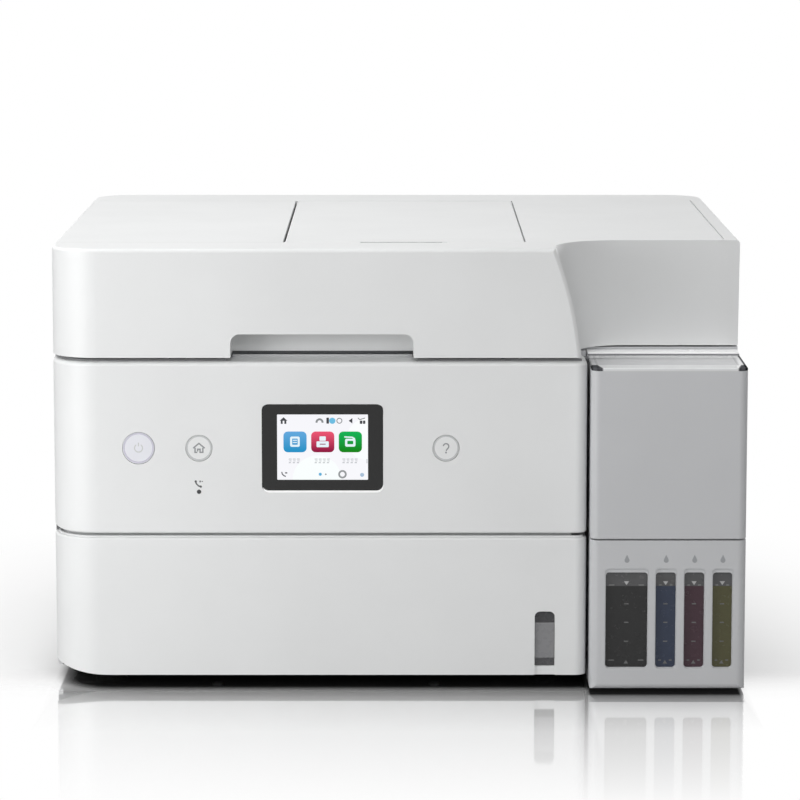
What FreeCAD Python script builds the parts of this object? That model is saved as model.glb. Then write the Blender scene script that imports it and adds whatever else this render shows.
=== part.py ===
import FreeCAD, Part
import math
import os

# Ink-tank all-in-one printer, millimetres. X to the right, Y to the back, Z up, origin on the floor.

# Overall size and outer planes
WIDTH = 375.0
DEPTH = 347.0
HEIGHT = 240.0
LEFT = -WIDTH / 2
RIGHT = WIDTH / 2
BACK = DEPTH / 2
TANK_FRONT = -DEPTH / 2
FRONT = TANK_FRONT + 12.2
WALL = 2.5
FRONT_ROUND = 25.0
BACK_ROUND = 22.0

# Heights of the stacked blocks
FLOOR_GAP = 7.3
CASSETTE_TOP = HEIGHT - 157.0
PANEL_BOTTOM = CASSETTE_TOP + 2.5
PANEL_TOP = HEIGHT - 61.0
BASE_TOP = HEIGHT - 99.4
SCANNER_BOTTOM = BASE_TOP + 1.0
SCANNER_TOP = HEIGHT - 59.8
COVER_BOTTOM = SCANNER_TOP + 1.0

# Fits
RUN_FIT = 0.05
SLIDE_FIT = 0.15
SEAM = 0.5

# Front bay
BAY_RIGHT = RIGHT - 85.4
PANEL_BACK = FRONT + 26.3
FRAME_FRONT = PANEL_BACK + 2.5
FRAME_BACK = FRAME_FRONT + 6.0
SCANNER_FRONT = FRAME_BACK + SEAM
DECK_BOTTOM = CASSETTE_TOP - 1.0
DECK_TOP = DECK_BOTTOM + 3.0

# Paper cassette and the sheets that it takes
CASSETTE_LEFT = LEFT + 13.5
CASSETTE_RIGHT = BAY_RIGHT - 10.4
PAPER_WIDTH = CASSETTE_RIGHT - CASSETTE_LEFT - 55.0
PAPER_MIDDLE = (CASSETTE_LEFT + CASSETTE_RIGHT) / 2 + 3.5

# Tank unit
TANK_LEFT = BAY_RIGHT + 1.6
TANK_RIGHT = RIGHT
TANK_BOTTOM = 2.1
TANK_BACK = TANK_FRONT + 133.5
TANK_DECK = CASSETTE_TOP + 0.7
TANK_TOWER_TOP = PANEL_TOP - 1.7
TOWER_FRONT = TANK_FRONT + 54.7
TOWER_BACK = TOWER_FRONT + 11.8
WINDOW_LOW = 13.9
WINDOW_HIGH = TANK_DECK - 17.6
WINDOW_SPANS = {"bk": (RIGHT - 75.5, RIGHT - 52.9), "c": (RIGHT - 48.5, RIGHT - 37.7),
                "m": (RIGHT - 33.1, RIGHT - 22.4), "y": (RIGHT - 17.8, RIGHT - 7.3)}

os.makedirs("parts", exist_ok=True)
V = FreeCAD.Vector


# Shape helpers
def outline(corners, place):
    """Closed wire through corners (a, b, radius), put in space by place(a, b)."""
    count = len(corners)
    starts = []
    middles = []
    ends = []
    for index in range(count):
        a, b, radius = corners[index]
        here = place(a, b)
        before = corners[index - 1]
        after = corners[(index + 1) % count]
        back = (place(before[0], before[1]) - here).normalize()
        ahead = (place(after[0], after[1]) - here).normalize()
        if radius <= 0:
            starts.append(here)
            middles.append(None)
            ends.append(here)
            continue
        half = back.getAngle(ahead) / 2
        run = radius / math.tan(half)
        inward = (back + ahead).normalize()
        starts.append(here + back * run)
        middles.append(here + inward * (radius / math.sin(half) - radius))
        ends.append(here + ahead * run)
    edges = []
    for index in range(count):
        if middles[index] is not None:
            edges.append(Part.Arc(starts[index], middles[index], ends[index]).toShape())
        following = starts[(index + 1) % count]
        if (following - ends[index]).Length > 1e-6:
            edges.append(Part.makeLine(ends[index], following))
    return Part.Wire(edges)


def plan(corners, z0, z1):
    """Plan outline (x, y, r) raised from z0 to z1."""
    wire = outline(corners, lambda a, b: V(a, b, z0))
    return Part.Face(wire).extrude(V(0, 0, z1 - z0))


def side(corners, x0, x1):
    """Side outline (y, z, r) drawn out from x0 to x1."""
    wire = outline(corners, lambda a, b: V(x0, a, b))
    return Part.Face(wire).extrude(V(x1 - x0, 0, 0))


def front(corners, y0, y1):
    """Front outline (x, z, r) drawn out from y0 to y1."""
    wire = outline(corners, lambda a, b: V(a, y0, b))
    return Part.Face(wire).extrude(V(0, y1 - y0, 0))


def box(x0, x1, y0, y1, z0, z1):
    return Part.makeBox(x1 - x0, y1 - y0, z1 - z0, V(x0, y0, z0))


def rod_x(radius, x0, x1, y, z):
    return Part.makeCylinder(radius, x1 - x0, V(x0, y, z), V(1, 0, 0))


def rod_y(radius, y0, y1, x, z):
    return Part.makeCylinder(radius, y1 - y0, V(x, y0, z), V(0, 1, 0))


def rod_z(radius, z0, z1, x, y):
    return Part.makeCylinder(radius, z1 - z0, V(x, y, z0), V(0, 0, 1))


def rounded_front(x0, x1, z0, z1, radius, y0, y1):
    corners = [(x0, z0, radius), (x1, z0, radius), (x1, z1, radius), (x0, z1, radius)]
    return front(corners, y0, y1)


def rounded_plan(x0, x1, y0, y1, radius, z0, z1):
    corners = [(x0, y0, radius), (x1, y0, radius), (x1, y1, radius), (x0, y1, radius)]
    return plan(corners, z0, z1)


def join(first, *others):
    return first.fuse(list(others)).removeSplitter()


def cut(first, *others):
    return first.cut(list(others))


def soften(shape, radius, wanted):
    """Round the edges for which wanted(edge) holds."""
    edges = [edge for edge in shape.Edges if wanted(edge)]
    return shape.makeFillet(radius, edges)


def flat_at_z(z):
    return lambda edge: abs(edge.BoundBox.ZMin - z) < 1e-4 and abs(edge.BoundBox.ZMax - z) < 1e-4


def save(name, *shapes):
    """Write one node, one solid or a group of solids."""
    if len(shapes) == 1:
        shape = shapes[0]
    else:
        shape = Part.makeCompound(list(shapes))
    shape.exportStep("parts/" + name + ".step")


# Base: rear and side walls stand on the bottom case
def wall_ring(z0, z1):
    outer = plan([(LEFT, FRAME_BACK, 0), (RIGHT, FRAME_BACK, 0),
                  (RIGHT, BACK, BACK_ROUND), (LEFT, BACK, BACK_ROUND)], z0, z1)
    inner = plan([(LEFT + WALL, FRAME_BACK - 5, 0), (RIGHT - WALL, FRAME_BACK - 5, 0),
                  (RIGHT - WALL, BACK - WALL, BACK_ROUND - WALL),
                  (LEFT + WALL, BACK - WALL, BACK_ROUND - WALL)], z0 - 1, z1 + 1)
    tank_bay = box(TANK_LEFT - 30, RIGHT + 5, FRAME_BACK - 5, TANK_BACK + SEAM, z0 - 1, z1 + 1)
    return cut(outer, inner, tank_bay)


RIM_TOP = 12.0
PLATE_TOP = 10.0
CASE_BOTTOM = 7.0
SIDE_SPLIT = RIGHT - 59.5
RAIL_LEFT = LEFT + 6.5
RAIL_RIGHT = RIGHT - 92.5
ring = wall_ring(RIM_TOP, BASE_TOP)

# Scanner lift hinge at the top of the rear wall
LIFT_Y = BACK - 6.0
LIFT_Z = BASE_TOP + 5.4
EYE = 3.5
PIN = 2.0
HINGE_X = RIGHT - 82.5
HINGE_WIDTH = 14.0


def hinge_post(x, foot_z, y, z):
    """Upright eye of a rear hinge."""
    x0 = x - HINGE_WIDTH / 2
    x1 = x + HINGE_WIDTH / 2
    stem = box(x0, x1, y - EYE, y + EYE, foot_z, z)
    post = join(stem, rod_x(EYE, x0, x1, y, z))
    return cut(post, rod_x(PIN + RUN_FIT, x0 - 1, x1 + 1, y, z))


def hinge_slot(x, low_z, y, z):
    """Opening round a rear hinge eye."""
    x0 = x - HINGE_WIDTH / 2 - 0.6
    x1 = x + HINGE_WIDTH / 2 + 0.6
    return box(x0, x1, y - 9, BACK + 5, low_z - 1, z + 6)


def hinge_pin(x, y, z):
    x0 = x - HINGE_WIDTH / 2 - 5
    x1 = x + HINGE_WIDTH / 2 + 5
    return rod_x(PIN, x0, x1, y, z)


# Rear sockets and doors open through the rear wall
REAR_DOOR = (LEFT + 92.5, RIGHT - 125.5, 40.0, DECK_TOP + 27.0)
SOCKET_PLATE = (LEFT + 24.0, LEFT + 56.5, DECK_TOP + 6.5, DECK_TOP + 43.5)
SOCKETS = {"usb": (LEFT + 34.5, DECK_TOP + 15, 13.0, 11.5), "lan": (LEFT + 34.5, DECK_TOP + 35, 15.5, 13.5),
           "line": (LEFT + 49.0, DECK_TOP + 15, 12.0, 11.5), "ext": (LEFT + 49.0, DECK_TOP + 35, 12.0,
                                        11.5)}


def bottom_case():
    corners = [(LEFT, FRAME_FRONT, 0), (RIGHT, FRAME_FRONT, 0), (RIGHT, BACK, BACK_ROUND), (LEFT, BACK,
               BACK_ROUND)]
    plate = plan(corners, CASE_BOTTOM, PLATE_TOP)
    plate = soften(plate, 2.0, lambda e: flat_at_z(CASE_BOTTOM)(e) and e.BoundBox.YMax > FRAME_FRONT + 1)
    tank_bay = box(TANK_LEFT - 0.6, RIGHT + 5, FRAME_FRONT - 5, TANK_BACK + SEAM, 0, 60)
    rim = wall_ring(PLATE_TOP, RIM_TOP)
    left_rail = box(RAIL_LEFT - WALL, RAIL_LEFT, FRAME_BACK, BACK - 23.5, PLATE_TOP, DECK_BOTTOM)
    right_rail = box(RAIL_RIGHT, RAIL_RIGHT + WALL, FRAME_BACK, BACK - 23.5, PLATE_TOP, DECK_BOTTOM)
    right_support = box(RIGHT - 77.5, RIGHT - 75, TANK_BACK + 2, BACK - 23.5, PLATE_TOP, DECK_BOTTOM)
    case = join(cut(plate, tank_bay), rim, left_rail, right_rail, right_support)
    for number in range(6):
        y = FRAME_BACK + 31.5 + number * (BACK - FRAME_BACK - 80) / 5
        case = cut(case, rounded_plan(LEFT + 37.5, RIGHT - 127.5, y, y + 24, 4, CASE_BOTTOM - 1,
                                      CASE_BOTTOM + 1.0))
    return case


def rear_openings():
    x0, x1, z0, z1 = REAR_DOOR
    holes = [rounded_front(x0, x1, z0, z1, 3, BACK - 8, BACK + 5)]
    x0, x1, z0, z1 = SOCKET_PLATE
    holes.append(rounded_front(x0, x1, z0, z1, 2, BACK - 8, BACK + 5))
    return holes


def side_covers():
    left = ring.common(box(LEFT - 1, -SIDE_SPLIT, FRAME_BACK - 1, BACK + 1, 0, HEIGHT + 60))
    right = ring.common(box(SIDE_SPLIT, RIGHT + 1, FRAME_BACK - 1, BACK + 1, 0, HEIGHT + 60))
    grip_left = box(LEFT - 1, LEFT + 1.2, FRONT + 91.3, FRONT + 171.3, DECK_TOP + 33, DECK_TOP + 47)
    left = cut(left, *rear_openings())
    left = cut(left, soften(grip_left, 1.0, lambda e: e.Length < 20 and e.BoundBox.XLength > 1))
    right = cut(right, *inlet_hole())
    return left, right


INLET = (RIGHT - 37.5, 52.0, 20.0, 13.0)


def inlet_hole():
    x, z, wide, tall = INLET
    return [rounded_front(x - wide / 2, x + wide / 2, z - tall / 2, z + tall / 2, 5.5, BACK - 8, BACK + 5)]


save("bottom_case", bottom_case())
left_cover, right_cover = side_covers()
save("side_cover_left", left_cover)
save("side_cover_right", right_cover)

# Rear panel with vent slots and the lift hinge eyes
rear_panel = ring.common(box(-SIDE_SPLIT, SIDE_SPLIT, FRONT + 261.3, BACK + 1, 0, HEIGHT + 60))
rear_panel = cut(rear_panel, *rear_openings())
for number in range(9):
    vent_x = RIGHT - 113.5 + number * 5
    rear_panel = cut(rear_panel, rounded_front(vent_x, vent_x + 2.4, 44, 74, 1.1, BACK - 8, BACK + 5))
for hinge_x in (-HINGE_X, HINGE_X):
    pad = box(hinge_x - HINGE_WIDTH / 2, hinge_x + HINGE_WIDTH / 2, LIFT_Y - EYE, BACK - WALL,
              BASE_TOP - 14, BASE_TOP)
    rear_panel = join(rear_panel, pad, hinge_post(hinge_x, BASE_TOP - 2, LIFT_Y, LIFT_Z))

# Rear jam door, hinged at its lower edge
door_x0, door_x1, door_z0, door_z1 = REAR_DOOR
DOOR_AXIS_Y = BACK - WALL / 2
DOOR_AXIS_Z = door_z0 + 2.2
DOOR_PIN = 0.9
door = rounded_front(door_x0 + SEAM, door_x1 - SEAM, door_z0 + 0.6, door_z1 - SEAM, 2.5, BACK - WALL, BACK)
door = soften(door, 1.0,
              lambda e: abs(e.BoundBox.YMin - BACK) < 1e-4 and abs(e.BoundBox.YMax - BACK) < 1e-4)
door_guide = box(LEFT + 127.5, RIGHT - 159.5, BACK - 10, BACK - WALL, 62, DECK_TOP + 15)
door_guide = soften(door_guide, 6, lambda e: e.BoundBox.XLength > 20 and e.BoundBox.YMax < BACK - 9)
pull = rounded_front(LEFT + 155.5, LEFT + 187.5, DECK_TOP + 16, DECK_TOP + 22, 2.5, BACK - 1.2, BACK + 2)
door_pins = rod_x(DOOR_PIN, door_x0 - 3, door_x1 + 3, DOOR_AXIS_Y, DOOR_AXIS_Z)
rear_panel = cut(rear_panel, rod_x(DOOR_PIN + RUN_FIT, door_x0 - 3.2, door_x1 + 3.2, DOOR_AXIS_Y,
                                   DOOR_AXIS_Z))
save("rear_panel", rear_panel)
save("rear_door", join(cut(join(door, door_guide), pull), door_pins))

# Rubber feet under the case and under the tank unit
feet = []
FOOT_BACK = BACK - 25.5
FOOT_FRONT = FRAME_BACK + 18.5
for foot_x, foot_y in ((LEFT + 27.5, FOOT_FRONT), (LEFT + 27.5, FOOT_BACK), (BAY_RIGHT - 21.4, FOOT_FRONT),
                       (RIGHT - 27.5, FOOT_BACK)):
    foot = rod_z(9, 0, CASE_BOTTOM, foot_x, foot_y)
    feet.append(soften(foot, 1.0, flat_at_z(0)))
for foot_x in (TANK_LEFT + 15, TANK_RIGHT - 15.3):
    feet.append(rod_z(6, 0, TANK_BOTTOM, foot_x, TANK_FRONT + 23.5))
save("rubber_feet", *feet)

# Front frame behind the panel, with the cassette mouth, the paper outlet and two hinge arms
PANEL_AXIS_Y = FRONT + 6.3
PANEL_AXIS_Z = PANEL_TOP - 8.5
PANEL_EYE = 3.4
ARM_X = (LEFT + 67.5, BAY_RIGHT - 41.4)
ARM_WIDTH = 8.0
OUTLET = (LEFT + 57.5, BAY_RIGHT - 21.4, DECK_TOP, DECK_TOP + 40.0)

frame = box(LEFT, TANK_LEFT, FRAME_FRONT, FRAME_BACK, PLATE_TOP, PANEL_TOP - 1.5)
mouth = rounded_front(LEFT + 9.5, RIGHT - 93.5, PLATE_TOP - 8, DECK_BOTTOM, 3, FRAME_FRONT - 1,
                      FRAME_BACK + 1)
outlet = rounded_front(OUTLET[0], OUTLET[1], OUTLET[2], OUTLET[3], 4, FRAME_FRONT - 1, FRAME_BACK + 1)
frame = cut(frame, mouth, outlet)
for arm_x in ARM_X:
    x0 = arm_x - ARM_WIDTH / 2
    x1 = arm_x + ARM_WIDTH / 2
    arm = box(x0, x1, PANEL_AXIS_Y, FRAME_FRONT, PANEL_AXIS_Z - 3, PANEL_AXIS_Z + 3)
    gusset = side([(FRAME_FRONT - 12, PANEL_AXIS_Z - 3, 0), (FRAME_FRONT, PANEL_AXIS_Z - 3, 0),
                   (FRAME_FRONT, PANEL_AXIS_Z - 12, 0)], x0 + 2.5, x1 - 2.5)
    eye = rod_x(PANEL_EYE, x0, x1, PANEL_AXIS_Y, PANEL_AXIS_Z)
    frame = join(frame, arm, gusset, eye)
    frame = cut(frame, rod_x(PIN + RUN_FIT, x0 - 1, x1 + 1, PANEL_AXIS_Y, PANEL_AXIS_Z))
save("front_frame", frame)

# Middle deck over the cassette bay, carrying the output tray and the print works
deck = plan([(LEFT + WALL, FRAME_BACK, 0), (TANK_LEFT - 0.6, FRAME_BACK, 0), (TANK_LEFT - 0.6,
            TANK_BACK + SEAM, 0),
             (RIGHT - WALL, TANK_BACK + SEAM, 0), (RIGHT - WALL, FRONT + 273.3, 0), (LEFT + WALL,
                                        FRONT + 273.3, 0)], DECK_BOTTOM, DECK_TOP)
TRAY_SPAN = (LEFT + 77.5, BAY_RIGHT - 41.4)
for rail_x in (TRAY_SPAN[0] - 0.3 - 3, TRAY_SPAN[1] + 0.3):
    deck = join(deck, box(rail_x, rail_x + 3, FRONT + 37.3, FRONT + 127.3, DECK_TOP, DECK_TOP + 5))
PICKUP_Y = FRONT + 246.3
PICKUP_Z = DECK_BOTTOM - 16.0
SHAFT = 3.0
for bracket_x in (PAPER_MIDDLE - 28, PAPER_MIDDLE + 26):
    bracket = side([(PICKUP_Y - 9, DECK_BOTTOM + 1, 0), (PICKUP_Y + 9, DECK_BOTTOM + 1, 0), (PICKUP_Y + 5,
                   PICKUP_Z - 5, 4),
                    (PICKUP_Y - 5, PICKUP_Z - 5, 4)], bracket_x, bracket_x + 3)
    deck = join(deck, bracket)
    deck = cut(deck, rod_x(SHAFT + RUN_FIT, bracket_x - 1, bracket_x + 4, PICKUP_Y, PICKUP_Z))
save("middle_deck", deck)

# Output tray sliding out under the tilted panel
TRAY_FRONT = FRAME_FRONT + 1.0
tray = box(TRAY_SPAN[0], TRAY_SPAN[1], TRAY_FRONT, FRONT + 117.3, DECK_TOP + SLIDE_FIT, DECK_TOP + 2.2)
lip = rounded_plan(TRAY_SPAN[0], TRAY_SPAN[1], TRAY_FRONT, TRAY_FRONT + 4, 1.5, DECK_TOP + SLIDE_FIT,
                   DECK_TOP + 6)
tray = join(tray, lip)
for rib in range(7):
    rib_x = TRAY_SPAN[0] + 12 + rib * (TRAY_SPAN[1] - TRAY_SPAN[0] - 29) / 6
    rib_shape = side([(TRAY_FRONT + 8, DECK_TOP + 2, 0), (FRONT + 115.3, DECK_TOP + 2, 0), (FRONT + 115.3,
                     DECK_TOP + 3.2, 0),
                      (TRAY_FRONT + 14, DECK_TOP + 4.4, 0)], rib_x, rib_x + 2)
    tray = join(tray, rib_shape)
save("output_tray", tray)

# Paper cassette: full-width front and a pull-out tray with sliding paper guides
FRONT_WALL = 2.6


def front_block(z0, z1):
    return plan([(LEFT, PANEL_BACK, 0), (LEFT, FRONT, FRONT_ROUND), (BAY_RIGHT, FRONT, 6), (BAY_RIGHT,
                PANEL_BACK, 0)],
                z0, z1)


def front_hollow(z0, z1):
    inset = FRONT_WALL
    return plan([(LEFT + inset, PANEL_BACK + 1, 0), (LEFT + inset, FRONT + inset, FRONT_ROUND - inset),
                 (BAY_RIGHT - inset, FRONT + inset, 6 - inset), (BAY_RIGHT - inset, PANEL_BACK + 1, 0)],
                 z0, z1)


def outer_rim(z):
    return lambda e: flat_at_z(z)(e) and e.BoundBox.YMin < PANEL_BACK - 0.01


LEVEL_SLOT = (BAY_RIGHT - 27.9, BAY_RIGHT - 17.0, 12.1, 42.4)
HOLLOW_LOW = 15.6
CORNER_RUN = 31.0
CORNER_RISE = 5.7

cassette_front = front_block(FLOOR_GAP, CASSETTE_TOP)
cassette_front = soften(cassette_front, 1.2, outer_rim(CASSETTE_TOP))
corner_radius = (CORNER_RUN ** 2 + CORNER_RISE ** 2) / (2 * CORNER_RISE)
half_rise = corner_radius - math.sqrt(corner_radius ** 2 - (CORNER_RUN / 2) ** 2)
arc_start = V(LEFT, FRONT - 5, FLOOR_GAP + CORNER_RISE)
arc_middle = V(LEFT + CORNER_RUN / 2, FRONT - 5, FLOOR_GAP + half_rise)
arc_end = V(LEFT + CORNER_RUN, FRONT - 5, FLOOR_GAP)
under_edges = [Part.Arc(arc_start, arc_middle, arc_end).toShape(),
               Part.makeLine(arc_end, V(LEFT + CORNER_RUN, FRONT - 5, 0)),
               Part.makeLine(V(LEFT + CORNER_RUN, FRONT - 5, 0), V(LEFT, FRONT - 5, 0)),
               Part.makeLine(V(LEFT, FRONT - 5, 0), arc_start)]
under_corner = Part.Face(Part.Wire(under_edges)).extrude(V(0, 60, 0))
cassette_front = cut(cassette_front, under_corner, front_hollow(HOLLOW_LOW, CASSETTE_TOP - FRONT_WALL))
slot_corners = [(LEVEL_SLOT[0], LEVEL_SLOT[2], 0.5), (LEVEL_SLOT[1], LEVEL_SLOT[2], 0.5),
                (LEVEL_SLOT[1], LEVEL_SLOT[3], 3), (LEVEL_SLOT[0], LEVEL_SLOT[3], 3)]
cassette_front = cut(cassette_front, front(slot_corners, FRONT - 1, FRONT + 4))
foot_notch = [(LEVEL_SLOT[0], FLOOR_GAP - 1, 0), (LEVEL_SLOT[1], FLOOR_GAP - 1, 0), (LEVEL_SLOT[1],
              LEVEL_SLOT[2] + 1, 0),
              (LEVEL_SLOT[0], LEVEL_SLOT[2] + 1, 0)]
cassette_front = cut(cassette_front, front(foot_notch, FRONT - 1, FRONT + 1.2))
save("cassette_front", cassette_front)

window_low = HOLLOW_LOW + 0.2
level_window = box(LEVEL_SLOT[0] - 3, LEVEL_SLOT[1] + 3, FRONT + FRONT_WALL, FRONT + FRONT_WALL + 2,
                   window_low, 46)
level_face = front([(LEVEL_SLOT[0] + 0.2, window_low, 0.4), (LEVEL_SLOT[1] - 0.2, window_low, 0.4),
                    (LEVEL_SLOT[1] - 0.2, LEVEL_SLOT[3] - 6.6, 0.4), (LEVEL_SLOT[0] + 0.2,
                                        LEVEL_SLOT[3] - 6.6, 0.4)],
                   FRONT + 1.4, FRONT + FRONT_WALL)
level_foot = box(LEVEL_SLOT[0] + 0.2, LEVEL_SLOT[1] - 0.2, FRONT + 1.9, FRONT + 3.9, LEVEL_SLOT[2] + 0.2,
                 window_low + 0.5)
save("level_window", join(level_window, level_face, level_foot))

CASSETTE_BACK = BACK - 5.5
CASSETTE_WALL = DECK_BOTTOM - 24.0
CASSETTE_FLOOR = PLATE_TOP + 2.4
low = PLATE_TOP + SLIDE_FIT
cassette = box(CASSETTE_LEFT, CASSETTE_RIGHT, PANEL_BACK, CASSETTE_BACK, low, CASSETTE_FLOOR)
left_wall = box(CASSETTE_LEFT, CASSETTE_LEFT + 2.4, PANEL_BACK, CASSETTE_BACK, low, CASSETTE_WALL)
right_wall = box(CASSETTE_RIGHT - 2.4, CASSETTE_RIGHT, PANEL_BACK, CASSETTE_BACK, low, CASSETTE_WALL)
slope = side([(PICKUP_Y - 45, CASSETTE_WALL + 2, 0), (CASSETTE_BACK + 1, 30, 0), (CASSETTE_BACK + 1,
             CASSETTE_WALL + 2, 0)], CASSETTE_LEFT - 1, CASSETTE_RIGHT + 1)
front_wall = box(CASSETTE_LEFT, CASSETTE_RIGHT, PANEL_BACK, PANEL_BACK + 2.4, low, CASSETTE_WALL)
back_wall = box(CASSETTE_LEFT, CASSETTE_RIGHT, CASSETTE_BACK - 2.4, CASSETTE_BACK, low, 28)
cassette = cut(join(cassette, left_wall, right_wall, front_wall, back_wall), slope)
flange = front_hollow(HOLLOW_LOW, CASSETTE_TOP - FRONT_WALL)
flange = flange.common(box(LEFT, BAY_RIGHT, PANEL_BACK - 2.4, PANEL_BACK, 0, CASSETTE_TOP))
cassette = join(cassette, flange)
for rib in range(5):
    rib_y = PANEL_BACK + 25 + rib * (CASSETTE_BACK - PANEL_BACK - 95) / 4
    cassette = join(cassette, box(CASSETTE_LEFT + 2, CASSETTE_LEFT + 14, rib_y, rib_y + 2,
                                  CASSETTE_FLOOR - 0.5, 40))
    cassette = join(cassette, box(CASSETTE_RIGHT - 10, CASSETTE_RIGHT - 2, rib_y, rib_y + 2,
                                  CASSETTE_FLOOR - 0.5, 40))
save("cassette_tray", cassette)

guide_low = CASSETTE_FLOOR + 0.1


def paper_guide(sign):
    """Upright paper guide on one side of the sheet stack."""
    inner = PAPER_MIDDLE + sign * (PAPER_WIDTH / 2 + 0.5)
    outer = inner + sign * 2.5
    foot_end = inner - sign * 22
    upright = box(min(inner, outer), max(inner, outer), FRONT + 101.3, FRONT + 181.3, guide_low, 42)
    upright = soften(upright, 6, lambda e: e.BoundBox.ZMin > 41 and e.BoundBox.YLength < 0.1)
    foot = box(min(outer, foot_end), max(outer, foot_end), FRONT + 127.3, FRONT + 155.3, guide_low,
               guide_low + 1.6)
    rib = box(min(outer, outer + sign * 7), max(outer, outer + sign * 7), FRONT + 140.1, FRONT + 142.5,
              guide_low, 34)
    return join(upright, foot, rib)


save("paper_guide_left", paper_guide(-1))
save("paper_guide_right", paper_guide(1))
end_upright = box(LEFT + 129.5, LEFT + 169.5, BACK - 12.5, BACK - 10, guide_low, 38)
end_upright = soften(end_upright, 6, lambda e: e.BoundBox.ZMin > 37 and e.BoundBox.XLength < 0.1)
end_foot = rounded_plan(LEFT + 133.5, LEFT + 165.5, BACK - 37.5, BACK - 10, 1, guide_low, guide_low + 1.6)
save("paper_guide_end", join(end_upright, end_foot))

# Control panel: shell, back plate, screen, lamp and three keys
PANEL_MIDDLE = PANEL_BOTTOM + 46.6
BEZEL = (LEFT + 114.0, LEFT + 179.5, PANEL_MIDDLE - 23.3, PANEL_MIDDLE + 23.7)
SCREEN = (BEZEL[0] + 8.3, BEZEL[1] - 8.0, BEZEL[2] + 5.5, BEZEL[3] - 5.5)
KEYS = {"power": (LEFT + 47.5, PANEL_MIDDLE, 8.6), "home": (LEFT + 80.1, PANEL_MIDDLE, 7.1),
        "help": (LEFT + 213.4, PANEL_MIDDLE, 7.1)}
LED = (LEFT + 80.0, PANEL_MIDDLE - 23.8, 1.2)
KEY_GAP = 0.2
KEY_TRAVEL = 0.8
PANEL_HOLLOW_LOW = PANEL_BOTTOM + 5.5
inner_face = FRONT + FRONT_WALL

panel = front_block(PANEL_BOTTOM, PANEL_TOP)
panel = soften(panel, 2.5, outer_rim(PANEL_TOP))
panel = soften(panel, 1.2, outer_rim(PANEL_BOTTOM))
heel = side([(FRONT + 4, PANEL_BOTTOM, 0), (PANEL_BACK + 1, PANEL_BOTTOM + 3.2, 0), (PANEL_BACK + 1,
            PANEL_BOTTOM - 5, 0),
             (FRONT + 4, PANEL_BOTTOM - 5, 0)], LEFT - 1, BAY_RIGHT + 1)
panel_hollow = front_hollow(PANEL_HOLLOW_LOW, PANEL_TOP - FRONT_WALL)
roof_gap = box(LEFT + FRONT_WALL, BAY_RIGHT - FRONT_WALL, PANEL_BACK - 2.3, PANEL_BACK + 1, PANEL_TOP - 4,
               PANEL_TOP + 1)
roof_gap = roof_gap.common(front_hollow(PANEL_TOP - 5, PANEL_TOP + 2))
panel = cut(panel, heel, panel_hollow, roof_gap)
for arm_x in ARM_X:
    half_slot = ARM_WIDTH / 2 + 0.8
    lug_top = PANEL_TOP - FRONT_WALL
    left_lug = box(arm_x - half_slot - 6, arm_x - half_slot, inner_face, PANEL_AXIS_Y + 3.5,
                   PANEL_AXIS_Z - 4, lug_top)
    right_lug = box(arm_x + half_slot, arm_x + half_slot + 6, inner_face, PANEL_AXIS_Y + 3.5,
                    PANEL_AXIS_Z - 4, lug_top)
    slot = join(box(arm_x - half_slot, arm_x + half_slot, inner_face, PANEL_BACK + 1, PANEL_AXIS_Z - 8,
                    lug_top),
                box(arm_x - half_slot, arm_x + half_slot, PANEL_AXIS_Y, PANEL_BACK + 1, lug_top - 1,
                    PANEL_TOP + 1))
    pin = rod_x(PIN, arm_x - half_slot - 5, arm_x + half_slot + 5, PANEL_AXIS_Y, PANEL_AXIS_Z)
    panel = join(cut(join(panel, left_lug, right_lug), slot), pin)
glass_pocket = rounded_front(BEZEL[0], BEZEL[1], BEZEL[2], BEZEL[3], 2.7, FRONT - 1, FRONT + 1.8)
screen_hole = rounded_front(SCREEN[0] - 1.5, SCREEN[1] + 1.5, SCREEN[2] - 1.5, SCREEN[3] + 1.5, 1,
                            FRONT - 1, inner_face + 1)
panel = cut(panel, glass_pocket, screen_hole)
for key_x, key_z, key_r in KEYS.values():
    panel = cut(panel, rod_y(key_r + KEY_GAP, FRONT - 1, inner_face + 1, key_x, key_z))
panel = cut(panel, rod_y(LED[2], FRONT - 1, inner_face + 1, LED[0], LED[1]))
save("control_panel", panel)

back_plate = front_hollow(PANEL_HOLLOW_LOW, PANEL_TOP - 23)
back_plate = back_plate.common(box(LEFT, BAY_RIGHT, PANEL_BACK - 2, PANEL_BACK, 0, HEIGHT))
for rib in range(4):
    rib_z = PANEL_BOTTOM + 11.5 + rib * 17
    back_plate = join(back_plate, box(LEFT + 17.5, RIGHT - 103.5, PANEL_BACK - 4, PANEL_BACK - 2, rib_z,
                                      rib_z + 2))
save("panel_back", back_plate)

glass = rounded_front(BEZEL[0] + 0.1, BEZEL[1] - 0.1, BEZEL[2] + 0.1, BEZEL[3] - 0.1, 2.6, FRONT,
                      FRONT + 1.8)
save("screen_glass", glass)
module = box(BEZEL[0] + 3, BEZEL[1] - 3, inner_face, inner_face + 3.6, BEZEL[2] + 1.5, BEZEL[3] - 1.5)
lit_area = box(SCREEN[0], SCREEN[1], FRONT + 1.8, inner_face, SCREEN[2], SCREEN[3])
save("display", join(module, lit_area))

for key_name, (key_x, key_z, key_r) in KEYS.items():
    cap = rod_y(key_r, FRONT, inner_face + 1.4, key_x, key_z)
    cap = soften(cap, 0.4, lambda e: abs(e.BoundBox.YMax - FRONT) < 1e-4)
    flange = rod_y(key_r + 1.2, inner_face, inner_face + 1.4, key_x, key_z)
    save("key_" + key_name, join(cap, flange))

save("status_led", rod_y(LED[2], FRONT, inner_face + 1.5, LED[0], LED[1]))

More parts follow.
